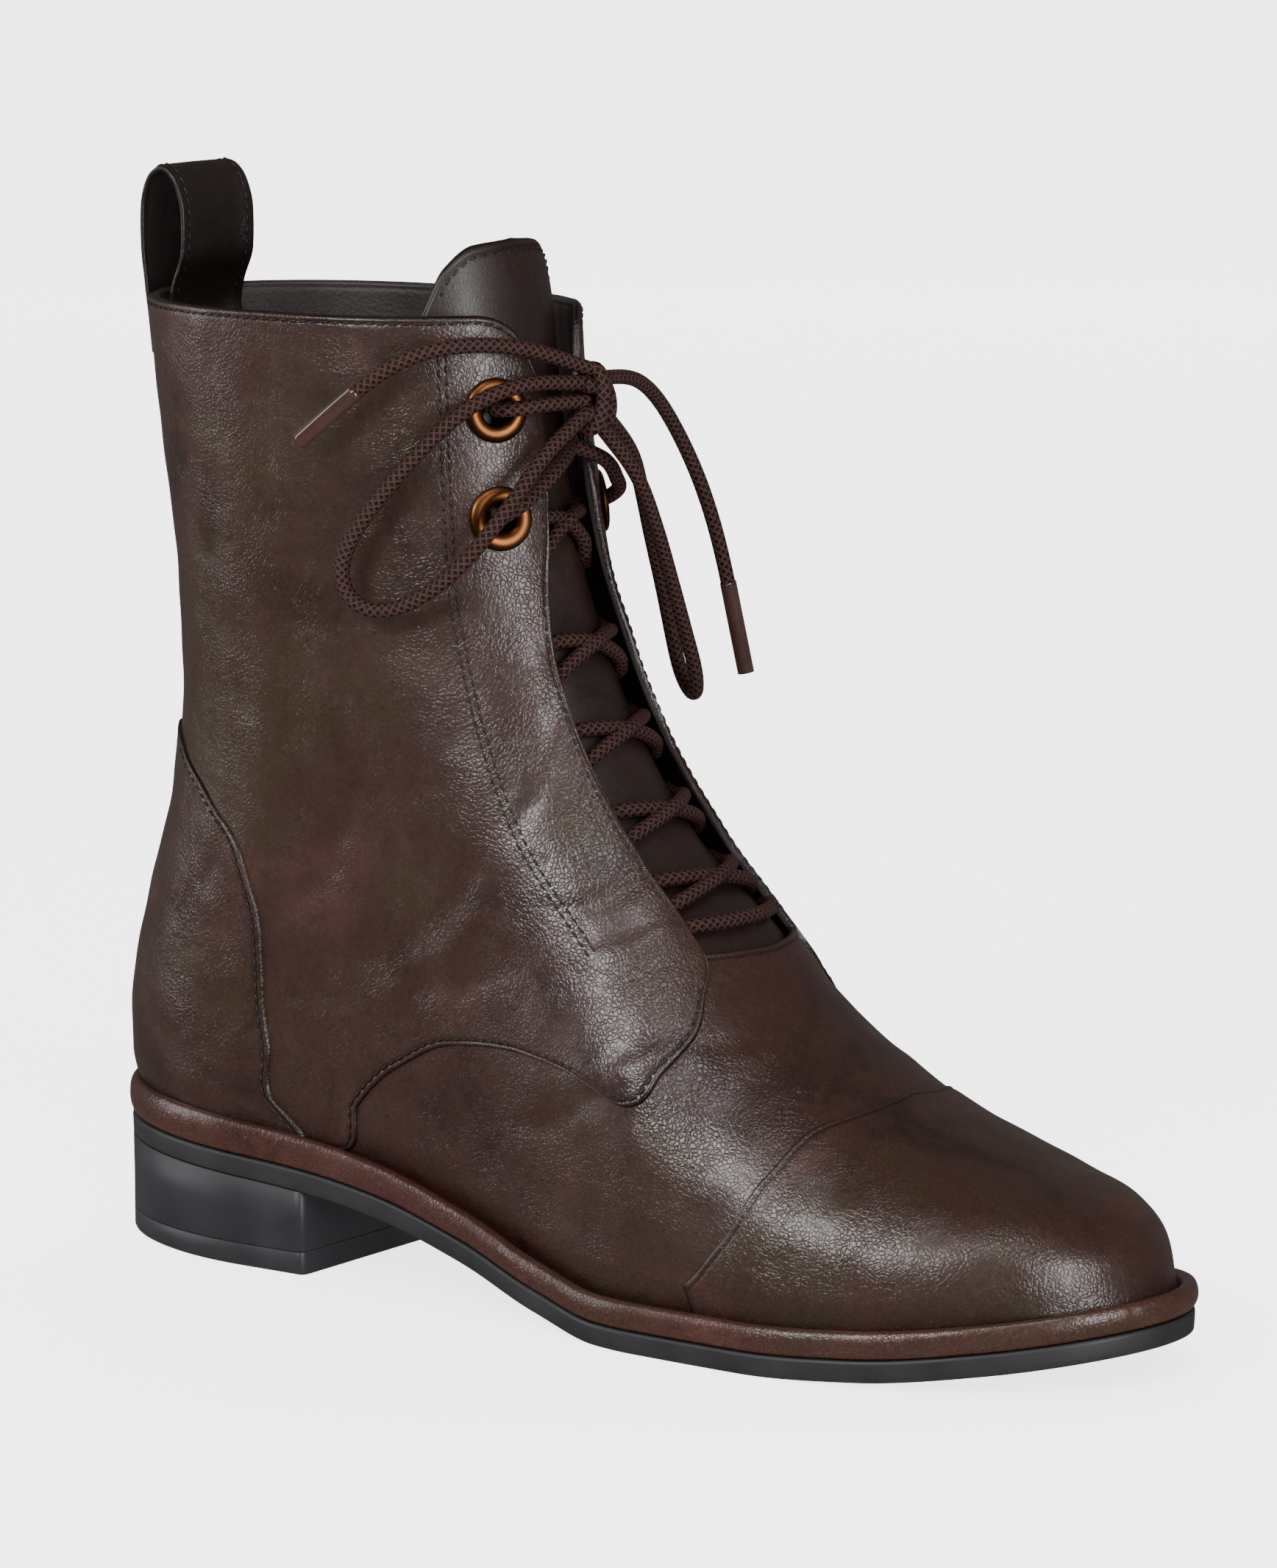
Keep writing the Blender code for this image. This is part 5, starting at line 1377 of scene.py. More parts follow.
t = 2 * crowded(60 * MM, 90)[:, 0] - 1
c, a = tongue_grid(t, crowded(np.full(t.shape, 140 * MM), 150))
flat = last_point(c, a)
half = TONGUE_THICKNESS / 2
sunk = fold_down(flat, (0, half, half, half), radius=1.4 * MM)
out = outward(c, a)
front = facing("tongue_front", tongue_point(c, a, 0.3 * undulation(flat) - sunk), out, TONGUE_LEATHER)
store(front, "painted_edge_shading", painted_shade_along_edges(flat, (0, half, half, half)))
keep(front, "tongue", slot="tongue_leather")
back = facing("tongue_back", tongue_point(c, a, sunk - TONGUE_THICKNESS), -out, LINING_CLOTH)
keep(back, "tongue", slot="tongue_leather")

# %% [markdown]
# The pull loop is a strap folded to a loop over the back of the collar. Its section is a flat rectangle
# with rounded edges, carried along the loop's line.

# %% Pull loop
def pull_loop_lines(points):
    """Middle line of the strap from the side, its direction, and the curve across it that hugs the heel."""
    behind, over = columns(PULL_LOOP_LINE)
    way = np.arange(len(behind))
    at = np.linspace(0, way[-1], points)
    dx = follow(at, way, behind) * PULL_LOOP_HEIGHT
    dz = follow(at, way, over) * PULL_LOOP_HEIGHT
    x = back_x(COLLAR_HEIGHT + np.minimum(dz, 0)) + dx
    hug = 1 - 0.6 * ease(dz / PULL_LOOP_HEIGHT)
    slope = np.stack([np.gradient(dx), np.gradient(dz)], axis=-1)
    return x, COLLAR_HEIGHT + dz, hug, slope / np.linalg.norm(slope, axis=-1, keepdims=True)


def pull_loop_point(x, z, hug, slope, y, level):
    """Point across the strap at y, level outside its middle."""
    leg_up, leg_share = columns(LEG_WIDTHS)
    base = LEG_WIDTH * follow(1.0, leg_up, leg_share)
    curve = BACK_ROUND * (1 - np.sqrt(1 - (y / base) ** 2))
    forward = x[:, None] - level * slope[:, 1:] + hug[:, None] * curve
    upward = z[:, None] + level * slope[:, :1]
    return np.stack(np.broadcast_arrays(forward, y + 0 * x[:, None], upward), axis=-1)


x, z, hug, slope = pull_loop_lines(220)
turn = np.linspace(0, 2 * pi, 97)[:-1]
across = np.sign(np.cos(turn)) * np.abs(np.cos(turn)) ** 0.25 * PULL_LOOP_WIDTH / 2
through = np.sign(np.sin(turn)) * np.abs(np.sin(turn)) ** 0.55 * PULL_LOOP_THICKNESS / 2
edge_ridge = 0.10 * MM * np.sin(pi * np.clip((PULL_LOOP_WIDTH / 2 - np.abs(across)) / (4 * MM), 0, 1))
through = through + np.sign(through) * edge_ridge
points = pull_loop_point(x, z, hug, slope, across[None, :], through[None, :])
away = np.stack([-slope[:, 1], 0 * x, slope[:, 0]], axis=-1)[:, None, :] * np.sign(through)[None, :, None]
# A ring that is shrunk to its middle closes each end
start, end = (ring.mean(axis=1, keepdims=True) + 0 * ring for ring in (points[:1], points[-1:]))
loop = facing("pull_loop_strap", np.concatenate([start, points, end]),
              np.concatenate([away[:1], away, away[-1:]]), LOOP_LEATHER, close_cols=True)
keep(loop, "pull_loop", slot="brown_leather")

# %% [markdown]
# The sole is built from outlines one above the other. Each outline is the feather line, where the upper
# meets the sole, moved outward by an offset; its height is a function of x. A profile swept round the shoe
# would bunch up at the toe, and these rings don't. Those at the bottom and the top shrink to the middle line.

# %% Sole pieces as stacked outlines
def way_along(path):
    """Length along a path of points up to each of them."""
    return np.concatenate(([0.0], np.cumsum(np.linalg.norm(np.diff(path, axis=0), axis=1))))


def even_loop(loop, step):
    """The closed loop again, with points an even step apart."""
    closed = np.concatenate([loop, loop[:1]])
    way = way_along(closed)
    at = np.linspace(0, way[-1], int(way[-1] / step) + 1)[:-1]
    return np.stack([np.interp(at, way, closed[:, 0]), np.interp(at, way, closed[:, 1])], axis=1)


def cut_straight(loop, end, radius=1.2 * MM):
    """The back part of a loop up to x = end, closed by a straight front with slightly rounded corners."""
    order = np.argsort(np.abs(loop[:, 0] - end))
    outer_y = loop[[i for i in order if loop[i, 1] < 0][0], 1]
    inner_y = loop[[i for i in order if loop[i, 1] > 0][0], 1]
    front = np.stack([np.full(90, end), np.linspace(inner_y, outer_y, 92)[1:-1]], axis=1)
    back = loop[loop[:, 0] < end]
    start = int(np.argmax(np.linalg.norm(np.diff(back, axis=0, append=back[:1]), axis=1))) + 1
    back = np.roll(back, -start, axis=0)
    if back[0, 1] > 0:
        front = front[::-1]
    joined = even_loop(np.concatenate([back, front]), 0.5 * MM)
    width = int(radius / (0.5 * MM))
    return sum(np.roll(joined, k, axis=0) for k in range(-width, width + 1)) / (2 * width + 1)


def sole_grid(levels, end=None, step=1.0 * MM):
    """Rings of points through levels of (offset, height function), closed towards the middle line."""
    rings = []
    for offset, height in levels:
        loop = outline_at(offset, 1200)
        loop = even_loop(loop if end is None else cut_straight(loop, end), step)
        count = len(rings[0]) if rings else len(loop)
        at = np.linspace(0, len(loop), count, endpoint=False)
        x, y = (np.interp(at, np.arange(len(loop) + 1), np.append(loop[:, k], loop[0, k])) for k in (0, 1))
        rings.append(np.stack([x, y, height(x)], axis=1))
    rings = np.array(rings)
    low, high = np.repeat(rings[:1], 3, axis=0), np.repeat(rings[-1:], 3, axis=0)
    low[..., 1] *= np.array([0.0, 0.33, 0.66])[:, None]
    high[..., 1] *= np.array([0.66, 0.33, 0.0])[:, None]
    return np.concatenate([low, rings, high])


def sole_piece(name, levels, look, nodes, slot, end=None, shape=None):
    """Closed piece of the sole; shape may move its points."""
    points = sole_grid(levels, end)
    if shape is not None:
        points = shape(points)
    middle = points.mean(axis=(0, 1))
    made = facing(name, points, points - middle, look, close_cols=True)
    return keep(made, *nodes, slot=slot)


def rows_between(low, high, share):
    """Height function at a share of the way between two others."""
    return lambda x: low(x) + share * (high(x) - low(x))


def over(height, lift):
    """Height function at a distance over another or, below 0, under it."""
    return lambda x: height(x) + lift


def floor_height(x):
    """Height of the floor, for each x."""
    return 0 * x


bead_top = over(feather_height, RAND_RISE)
edge = RAND_OVERHANG
swell = np.linspace(-1, 1, 15)
rounded = [(edge - 1.6 * MM * (1 - np.sqrt(np.clip(1 - (0.94 * s) ** 2, 0, 1))),
            rows_between(rand_bottom, bead_top, (s + 1) / 2)) for s in swell]
shelf = [(edge - 1.9 * MM, rows_between(rand_bottom, bead_top, 1.02)),
         (edge - 3.0 * MM, over(bead_top, -0.15 * MM)),
         (0.9 * MM, over(bead_top, -0.6 * MM)),
         (SEAT_GAP, over(feather_height, -SEAT_GAP))]


def wrapped_wrinkles(points):
    """Fine upright wrinkles in the wrapped edge: waves of 2 to 5 mm round the sole, deepest at mid height."""
    count = points.shape[1]
    way = np.arange(count)[None, :] * 1.0
    row = np.linspace(-1, 1, points.shape[0])[:, None]
    lean = 1.2 * row
    wave = np.sin(way / 0.55 + lean + 1.7 * np.sin(way / 5.3)) * (0.5 + 0.5 * np.sin(way / 11.0 + 1.0))
    wave = wave + 0.7 * np.sin(way / 1.4 - lean + 2.1 * np.sin(way / 7.9))
    middle = points.mean(axis=1, keepdims=True)
    out = points - middle
    out[..., 2] = 0
    out /= np.maximum(np.linalg.norm(out, axis=-1, keepdims=True), 1e-6)
    inside = np.zeros(points.shape[0])
    inside[3:3 + len(rounded)] = np.cos(pi / 2 * np.linspace(-1, 1, len(rounded))) ** 0.5
    return points + out * (0.07 * MM * wave * inside[:, None])[..., None]


sole_piece("midsole_edge", rounded + shelf, EDGE_LEATHER, ["midsole"], "rand_leather", shape=wrapped_wrinkles)
sole_piece("outsole_rubber", [
    (edge - 1.2 * MM, underside_height),
    (edge - 0.9 * MM, over(underside_height, 0.12 * MM)),
    (edge - 0.75 * MM, over(underside_height, 0.4 * MM)),
    (edge - 0.7 * MM, over(underside_height, 1.4 * MM)),
    (edge - 0.6 * MM, over(rand_bottom, -1.2 * MM)),
    (edge - 0.7 * MM, over(rand_bottom, -0.6 * MM)),
    (edge - 1.1 * MM, over(rand_bottom, -GAP)),
], RUBBER, ["outsole"], "black_rubber")
sole_piece("heel_block_stack", [
    (edge - 0.9 * MM, over(floor_height, HEEL_LIFT + 0.05 * MM)),
    (edge - 0.8 * MM, over(floor_height, HEEL_LIFT + 0.15 * MM)),
    (edge - 0.8 * MM, rows_between(over(floor_height, HEEL_LIFT), underside_height, 0.5)),
    (edge - 0.7 * MM, over(underside_height, -0.15 * MM)),
    (edge - 0.9 * MM, over(underside_height, -0.05 * MM)),
], HEEL_RUBBER, ["heel_block"], "black_rubber", end=HEEL_LENGTH)
sole_piece("heel_top_piece", [
    (edge - 1.6 * MM, floor_height),
    (edge - 1.1 * MM, over(floor_height, 0.25 * MM)),
    (edge - 0.8 * MM, over(floor_height, 0.8 * MM)),
    (edge - 0.8 * MM, over(floor_height, HEEL_LIFT - 0.15 * MM)),
    (edge - 0.9 * MM, over(floor_height, HEEL_LIFT - 0.05 * MM)),
], HEEL_RUBBER, ["heel_lift"], "black_rubber", end=HEEL_LENGTH)
sole_piece("insole_board", [
    (-WALL - INSOLE_INSET, feather_height),
    (-WALL - 1.1 * INSOLE_INSET, over(feather_height, 0.6 * INSOLE_THICKNESS)),
    (-WALL - 1.8 * INSOLE_INSET, over(feather_height, INSOLE_THICKNESS)),
], LINING_CLOTH, ["insole"], "lining")

# %% [markdown]
# An eyelet is a copper ring pressed from both sides: a rolled rim on the leather and a barrel through it.
# It is a turned part, so its profile is turned about the hole's axis.

# %% Eyelets
def frame_at(c, a, level):
    """Centre on the upper and three directions: round the boot, up along it and outward."""
    out = outward(c, a)
    up = last_point(c + 0.01, a) - last_point(c - 0.01, a)
    up = up - out * (up @ out)
    up /= np.linalg.norm(up)
    return last_point(c, a) + out * level, np.cross(up, out), up, out


roll = np.linspace(pi * 0.02, pi * 1.0, 16)
rim, bore = EYELET_SIZE / 2, EYELET_BORE / 2 - 0.8 * MM      # the roll reaches 0.8 mm into the bore
ring_radius = (rim + bore) / 2 + (rim - bore) / 2 * np.cos(roll)
ring_height = EYELET_RIM * np.sin(roll) ** 0.9
eyelet_radius = np.concatenate([[bore, EYELET_BARREL / 2, EYELET_BARREL / 2, rim - 0.4 * MM], ring_radius,
                                [bore - 0.02 * MM, bore]])
eyelet_height = np.concatenate([[-FLAP_INNER, -FLAP_INNER, PANEL, PANEL], PANEL + GAP * 0.3 + ring_height,
                                [PANEL - 0.4 * MM, -FLAP_INNER]])
for name, c, a in EYELET_WAYS:
    centre, along, up, out = frame_at(c, a, 0)
    turn = np.linspace(0, 2 * pi, 73)[:-1]
    circle = np.cos(turn)[:, None] * along + np.sin(turn)[:, None] * up
    points = centre + eyelet_radius[:, None, None] * circle[None] + eyelet_height[:, None, None] * out
    away = np.broadcast_to(out, points.shape)
    ring = facing("eyelet_" + name + "_ring", points, away, COPPER, close_cols=True)
    keep(ring, "eyelet_" + name, slot="copper")

# %% [markdown]
# The lace is a round waxed braid of 3.2 mm. Each length is a tube along a path, with a UV map in
# millimetres, round it and along it, so that the braid's diagonal strands follow every bend.

# %% Lace as tubes with a map in millimetres
def spline_through(points, step):
    """Points an even step apart on a smooth curve through the given ones."""
    points = np.asarray(points, dtype=float)
    way = way_along(points)
    slope = np.gradient(points, way, axis=0)
    at = np.linspace(0, way[-1], max(3, int(round(way[-1] / step)) + 1))
    i = np.clip(np.searchsorted(way, at) - 1, 0, len(way) - 2)
    span = (way[i + 1] - way[i])[:, None]
    t = (at - way[i])[:, None] / span
    return ((2 * t**3 - 3 * t**2 + 1) * points[i] + (t**3 - 2 * t**2 + t) * span * slope[i]
            + (3 * t**2 - 2 * t**3) * points[i + 1] + (t**3 - t**2) * span * slope[i + 1])


def tube_grid(path, radius, sides=20):
    """Rings of points round a path: its directions are carried along without twist. Also their UV in mm."""
    ahead = np.gradient(path, axis=0)
    ahead /= np.linalg.norm(ahead, axis=1, keepdims=True)
    side = np.zeros_like(path)
    side[0] = np.cross(ahead[0], (0.3, 0.5, 0.8))
    for i in range(len(path)):
        start = side[max(i - 1, 0)]
        side[i] = start - ahead[i] * (start @ ahead[i])
        side[i] /= np.linalg.norm(side[i])
    other = np.cross(ahead, side)
    turn = np.linspace(0, 2 * pi, sides + 1)
    radius = np.broadcast_to(radius, (len(path),))[:, None, None]
    rings = path[:, None] + radius * (np.cos(turn)[None, :, None] * side[:, None]
                                      + np.sin(turn)[None, :, None] * other[:, None])
    round_cord = turn[None, :] / (2 * pi) * 10.0
    uv = np.stack(np.broadcast_arrays(round_cord, way_along(path)[:, None] / MM), axis=-1)
    return rings, uv


def lace(name, path, nodes, look=None, radius=LACE / 2, slot="lace_cord"):
    """Closed tube along a path in last coordinates, with flat ends."""
    rings, uv = tube_grid(np.asarray(path), radius)
    start, end = (np.broadcast_to(centre, rings[:1].shape) for centre in (path[0], path[-1]))
    rings = np.concatenate([start, rings, end])
    uv = np.concatenate([uv[:1], uv, uv[-1:]])
    made = grid_object(name, rings, look or LACE_CORD, uv=uv)
    print(name, rings.shape[:2])
    return keep(made, *nodes, slot=slot)


def on_tongue(c, a):
    """Middle of a strand that rests on the tongue at c and a."""
    return last_point(c, a) + outward(c, a) * (TONGUE_ROOM + LACE / 2 - tongue_depth(c))[..., None]


UNDER_FLAP = 0.07                # way round that a strand runs on under each flap, to its hidden eyelet
FLAP_DIP = 1.6 * MM              # how far it goes down there
CORD_STEP = 0.7 * MM             # between two rings of a cord


def across_throat(row, count):
    """Ways round from under one flap to under the other, the share from -1 to 1 between the flaps' edges,
    and how far each point dips to pass under a flap.
    """
    start = -float(way_round_front(row, -1)) - EDGE_ROOM
    end = -2 + float(way_round_front(row, 1)) + EDGE_ROOM
    a = np.linspace(start + UNDER_FLAP, end - UNDER_FLAP, count)
    share = 2 * (a - start) / (end - start) - 1
    dip = FLAP_DIP * np.clip((np.abs(share) - 0.9) / 0.5, 0, 1)
    return a, share, dip


for number, row in enumerate(LACE_ROWS, start=1):
    a, share, dip = across_throat(row, 80)
    bow = 0.008 * (1 - np.minimum(np.abs(share), 1.2) ** 2)
    for word, sign in (("over", 1), ("under", -1)):
        path = on_tongue(row + sign * ROW_SPREAD * share + bow, a)
        lift = (0.8 * MM * np.exp(-9 * share**2) if sign > 0 else 0.0) - dip
        path = path + outward(np.full(80, row), a) * lift[:, None]
        lace(f"lace_row_{number}_{word}", spline_through(path, CORD_STEP), [f"lace_crossing_{number}"])
a, share, dip = across_throat(LACE_BAR, 50)
bar = np.full(50, LACE_BAR)
path = on_tongue(bar, a) - outward(bar, a) * dip[:, None]
lace("lace_bar_cord", spline_through(path, CORD_STEP), ["lace_bar"])
c, a, level = columns(TOP_CROSSING)
for word, places in (("outer", -a), ("inner", a - INNER_EYELET_SHIFT)):
    path = last_point(c, places) + outward(c, places) * (level * MM)[:, None]
    lace("lace_top_row_" + word, spline_through(path, CORD_STEP), ["lace_crossing_top"])

# %% [markdown]
# The bow hangs in front of the top eyelets. A simulated cord would settle somewhere else than in the photo,
# so each is a curve through its own points, eased as a stiff cord eases, and runs on into the knot. The
# length of each cord is printed.

# %% Bow
def at_knot(height, toward):
    """Point beside the knot, at a height, where a strand that comes from another point meets it."""
    knot = np.array(KNOT)
    up = max(abs(height - knot[2]) - LACE / MM / 2, 0)
    reach = KNOT_SIZE[0] * np.sqrt(1 - (up / KNOT_SIZE[2]) ** 2) + GAP / MM
    way = np.array(toward)[:2] - knot[:2]
    place = knot[:2] + reach * way / np.linalg.norm(way)
    return (*place, height)


def route_points(points):
    """The route's points on the boot, with a height at the knot turned into a point there."""
    points = list(points)
    if np.isscalar(points[0]):
        points[0] = at_knot(points[0], points[1])
    if np.isscalar(points[-1]):
        points[-1] = at_knot(points[-1], points[-2])
    return last_point(BOW_AT, 1.0) + np.array(points) * MM


def run_on(path, tail=3.5 * MM):
    """One more point, straight on past a path's last point, so that its cut end lies inside the knot."""
    ahead = path[-1] - path[-2]
    return path[-1] + ahead / np.linalg.norm(ahead) * tail


def relaxed(path, rounds=60):
    """A path whose inner points move to the mean of themselves and their neighbours, as a stiff cord does."""
    path = np.array(path)
    for _ in range(rounds):
        path[1:-1] = (path[:-2] + 2 * path[1:-1] + path[2:]) / 4
    return path


for name, points in AGLETS.items():
    path = spline_through(route_points(points), 0.8 * MM)
    lace(name + "_film", path, [name], look=CLEAR_TIP, radius=AGLET / 2, slot="clear_tip")

# The knot: strands that run through it from side to side, and two wraps round them
knot_middle = route_points([KNOT])[0]
u = np.linspace(0, 2 * pi, 80)
wrap_outer = np.stack([3.1 * np.cos(u), -0.9 + 0.7 * np.sin(u), 6.2 * np.sin(u)], axis=1)
wrap_inner = np.stack([2.5 * np.cos(u), 1.9 - 0.8 * np.sin(u), 4.6 * np.sin(u) - 0.6], axis=1)
s = np.linspace(-1, 1, 30)
through_high = np.stack([0.9 - 0.6 * s**2, 3.6 * s, 2.3 - 0.8 * s], axis=1)
through_low = np.stack([0.6 - 0.5 * s**2, 3.6 * s, -2.6 + 0.9 * s], axis=1)
knot_pieces = [lace("lace_knot_" + word, knot_middle + path * MM, ["lace_knot"])
               for word, path in (("wrap_outer", wrap_outer), ("wrap_inner", wrap_inner),
                                  ("strand_high", through_high), ("strand_low", through_low))]

for name, points in TOP_STRANDS.items():
    route = route_points(points)
    route = np.concatenate([route, [run_on(route)]])
    lace(name.replace("top", "strand"), spline_through(route, CORD_STEP), [name])

for name, points in CORDS.items():
    bare_end = "end" in name
    route = route_points(points)
    into_knot = [run_on(route[::-1])]
    if bare_end:
        tip = route_points(AGLETS["aglet_" + name.rsplit("_", 1)[1]])
        last = [tip[0] + (tip[1] - tip[0]) * 0.3]
    else:
        last = [run_on(route)]
    path = relaxed(spline_through(np.concatenate([into_knot, route, last]), CORD_STEP))
    made = lace(name + "_cord", path, [name])
    length = float(way_along(path)[-1])
    print(name, "length", round(length / MM, 1), "mm")

# %% [markdown]
# The zip lies in the slot on the inner side: a woven tape and a coil whose turns show as small ribs. The
# closed coil could be one long spring, but only the turns' upper halves are seen, so each is a small arched
# capsule across the slot.

# %% Zip
def zip_lines(c, half_width_of_strip, cols):
    """Grids of c and a for a strip of even width along the zip."""
    line_c, line_a = columns(ZIP_LINE)
    depth_x = last_point(c, np.ones_like(c))[..., 0] - last_point(c, np.zeros_like(c))[..., 0]
    spread = half_width_of_strip / (pi / 2 * depth_x)
    return np.broadcast_arrays(c, follow(c, line_c, line_a) + spread * np.linspace(-1, 1, cols)[None, :])


c, a = zip_lines(np.linspace(ZIP_FROM + 0.006, 0.992, 160)[:, None], ZIP_SLOT / 2 + 0.5 * MM, 9)
tape = panel("zip_tape_strip", c, a, TAPE_LEVEL, ZIP_TAPE, wave=0.0)
keep(tape, "zip_tape", slot="zip_tape")


def row_of_copies(name, shape, centres, along, across, out, look):
    """One mesh of many copies of a small grid; shape holds its points as (along, across, out)."""
    rows, cols = shape.shape[:2]
    points = (centres[:, None, None] + shape[None, ..., :1] * along[:, None, None]
              + shape[None, ..., 1:2] * across[:, None, None] + shape[None, ..., 2:] * out[:, None, None])
    cells = grid_faces(rows, cols, close_cols=True)
    faces = (cells[None] + (np.arange(len(centres)) * rows * cols)[:, None, None]).reshape(-1, 4)
    middle, corner = points[0, rows // 2, 0], points[0].mean(axis=(0, 1))
    a_side = points[0, rows // 2, 1 % cols] - middle
    b_side = points[0, rows // 2 + 1, 0] - middle
    if np.cross(a_side, b_side) @ (middle - corner) < 0:
        faces = faces[:, ::-1]
    print(name, len(centres), "copies")
    return mesh_object(name, points.reshape(-1, 3) - CENTRE, faces, look)


def capsule(length, radius, rings=5, sides=6, flat=1.0, arch=0.0):
    """Small closed tube with rounded ends; arch lifts its middle."""
    s = np.linspace(-1, 1, rings)
    round_off = np.sqrt(np.clip(1 - np.abs(s) ** 4, 0, 1))
    turn = np.linspace(0, 2 * pi, sides + 1)[:-1]
    x = np.broadcast_to((s * length / 2)[:, None], (rings, sides))
    y = radius * round_off[:, None] * np.cos(turn)
    z = flat * radius * round_off[:, None] * np.sin(turn) + (arch * (1 - s**2))[:, None]
    return np.stack([x, y, z], axis=-1)


line_c, line_a = columns(ZIP_LINE)
fine_c = np.linspace(ZIP_FROM + 0.012, 0.990, 1500)
fine = last_point(fine_c, follow(fine_c, line_c, line_a))
way = way_along(fine)
tooth_c = np.interp(np.arange(0.6 * MM, way[-1], COIL_PITCH), way, fine_c)
tooth_a = follow(tooth_c, line_c, line_a)
out = outward(tooth_c, tooth_a)
up = last_point(tooth_c + 0.004, tooth_a) - last_point(tooth_c - 0.004, tooth_a)
up /= np.linalg.norm(up, axis=1, keepdims=True)
across = np.cross(up, out)
tooth = capsule(COIL_WIDTH, COIL_WIRE / 2, rings=7, sides=8, arch=0.35 * MM)
teeth = row_of_copies("zip_coil_turns", tooth, last_point(tooth_c, tooth_a) + out * (0.05 * MM), across, up,
                      out, ZIP_COIL)
keep(teeth, "zip_coil", slot="zip_tape")

# %% [markdown]
# Stitches. A lockstitch shows as short raised beads of thread with a hole at each end. A row follows an edge
# at a set distance: the edge line is moved over the surface, cut at even steps of the needle, and a small
# capsule is laid on each step. All stitches of a row are one mesh.

# %% Rows of stitches
STITCH = 2.5 * MM                # one step of the needle
THREAD_SIZE = 0.50 * MM


def moved_line(c, a, distance):
    """The line of c and a moved over the surface, to its left as seen from outside, or below 0 to its right.

    The move in space is turned into one in c and a by the surface's slopes: two equations in two unknowns.
    """
    step = 0.002
    c, a = np.asarray(c, dtype=float), np.asarray(a, dtype=float)
    low = np.maximum(c - step, 0)
    by_c = (last_point(c + step, a) - last_point(low, a)) / (c + step - low)[:, None]
    by_a = (last_point(c, a + step) - last_point(c, a - step)) / (2 * step)
    line = last_point(c, a)
    ahead = np.gradient(line, axis=0)
    ahead /= np.linalg.norm(ahead, axis=1, keepdims=True)
    left = np.cross(outward(c, a), ahead) * distance
    cc, aa, ca = (by_c * by_c).sum(1), (by_a * by_a).sum(1), (by_c * by_a).sum(1)
    lc, la = (left * by_c).sum(1), (left * by_a).sum(1)
    scale = cc * aa - ca**2
    return np.maximum(c + (lc * aa - la * ca) / scale, 0), a + (la * cc - lc * ca) / scale


def even_stitches(line):
    """Fractional place of each stitch's middle along a line of points."""
    way = way_along(line)
    return np.interp(np.arange(STITCH, way[-1] - STITCH / 2, STITCH), way, np.arange(len(line)))


def lay_stitches(name, line, out, nodes, slot):
    """Stitches along a line of points with outward directions."""
    at, index = even_stitches(line), np.arange(len(line))
    middle, up, ahead = (np.stack([np.interp(at, index, values[:, k]) for k in range(3)], axis=1)
                         for values in (line, out, np.gradient(line, axis=0)))
    up /= np.linalg.norm(up, axis=1, keepdims=True)
    ahead -= up * (ahead * up).sum(1, keepdims=True)
    ahead /= np.linalg.norm(ahead, axis=1, keepdims=True)
    across = np.cross(up, ahead)
    ahead = ahead + 0.10 * across    # each bead turns a little against the row
    shape = capsule(0.84 * STITCH, THREAD_SIZE / 2, flat=0.8, arch=0.10 * MM)
    made = row_of_copies(name, shape, middle + up * 0.03 * MM, ahead, across, up, THREAD)
    return keep(made, *nodes, slot=slot)


def seam(name, c, a, level, inset=0.0, wave=1.0):
    """Row of stitches on the upper along a line of c and a, moved sideways by inset."""
    c, a = moved_line(c, a, inset)
    flat = last_point(c, a)
    out = outward(c, a)
    height = level + wave * undulation(flat[None])[0]
    return lay_stitches(name, flat + out * height[:, None], out, ["upper"], "brown_leather")


GROOVED = -0.06 * MM             # the thread's middle under the leather's face
ON_PANEL = PANEL + GROOVED
ZIP_SEAM_INSET = 2.4 * MM
for side, word in ((-1, "outer"), (1, "inner")):
    # Going up the flap's front edge, the leather lies to the left on the outer side and right on the inner
    front_c = np.linspace(float(quarter_low(1.0)) + 0.006, float(quarter_high(1.0)) - 0.006, 400)
    a = side * way_round_front(front_c, side)
    seam(f"stitch_flap_{word}", front_c, a, ON_PANEL, -side * SEAM_INSET)
    for place, share, edge_line in (("collar", np.linspace(0.985, 0.012, 500), quarter_high),
                                    ("quarter", np.linspace(0.40, 0.985, 600), quarter_low)):
        c = edge_line(share)
        seam(f"stitch_{place}_{word}", c, side * share * way_round_front(c, side), ON_PANEL,
             -side * SEAM_INSET)
    c = np.linspace(0.50, 0.978, 400)
    a = side * follow(c, *columns(FLAP_SEAM))
    for row, inset in (("first", -0.75 * MM), ("second", 0.75 * MM)):
        seam(f"stitch_lace_seam_{word}_{row}", c, a, PANEL + 0.02 * MM, inset)
    c = np.linspace(0.06, 0.705, 500)
    seam(f"stitch_counter_{word}", c, side * follow(c, *columns(COUNTER_EDGE)), COUNTER_STEP + GROOVED,
         -side * SEAM_INSET)
c = np.linspace(ZIP_FROM + 0.008, 0.985, 400)
for word, edge_way, sign in zip(("back", "front"), slot_edges(c[:, None]), (-1, 1)):
    seam(f"stitch_zip_{word}", c, edge_way[:, 0], ON_PANEL, sign * ZIP_SEAM_INSET)
c = np.linspace(0.32, 0.965, 400)
for word, sign in (("outer", -1), ("inner", 1)):
    level = PANEL + (COUNTER_STEP - PANEL) * (1 - ease((c - 0.70) / 0.04)) + BACKSTAY_STEP
    seam(f"stitch_back_strip_{word}", c, sign * way_at_width(c, BACKSTAY_WIDTH / 2), level + GROOVED,
         -sign * SEAM_INSET, wave=0.3)

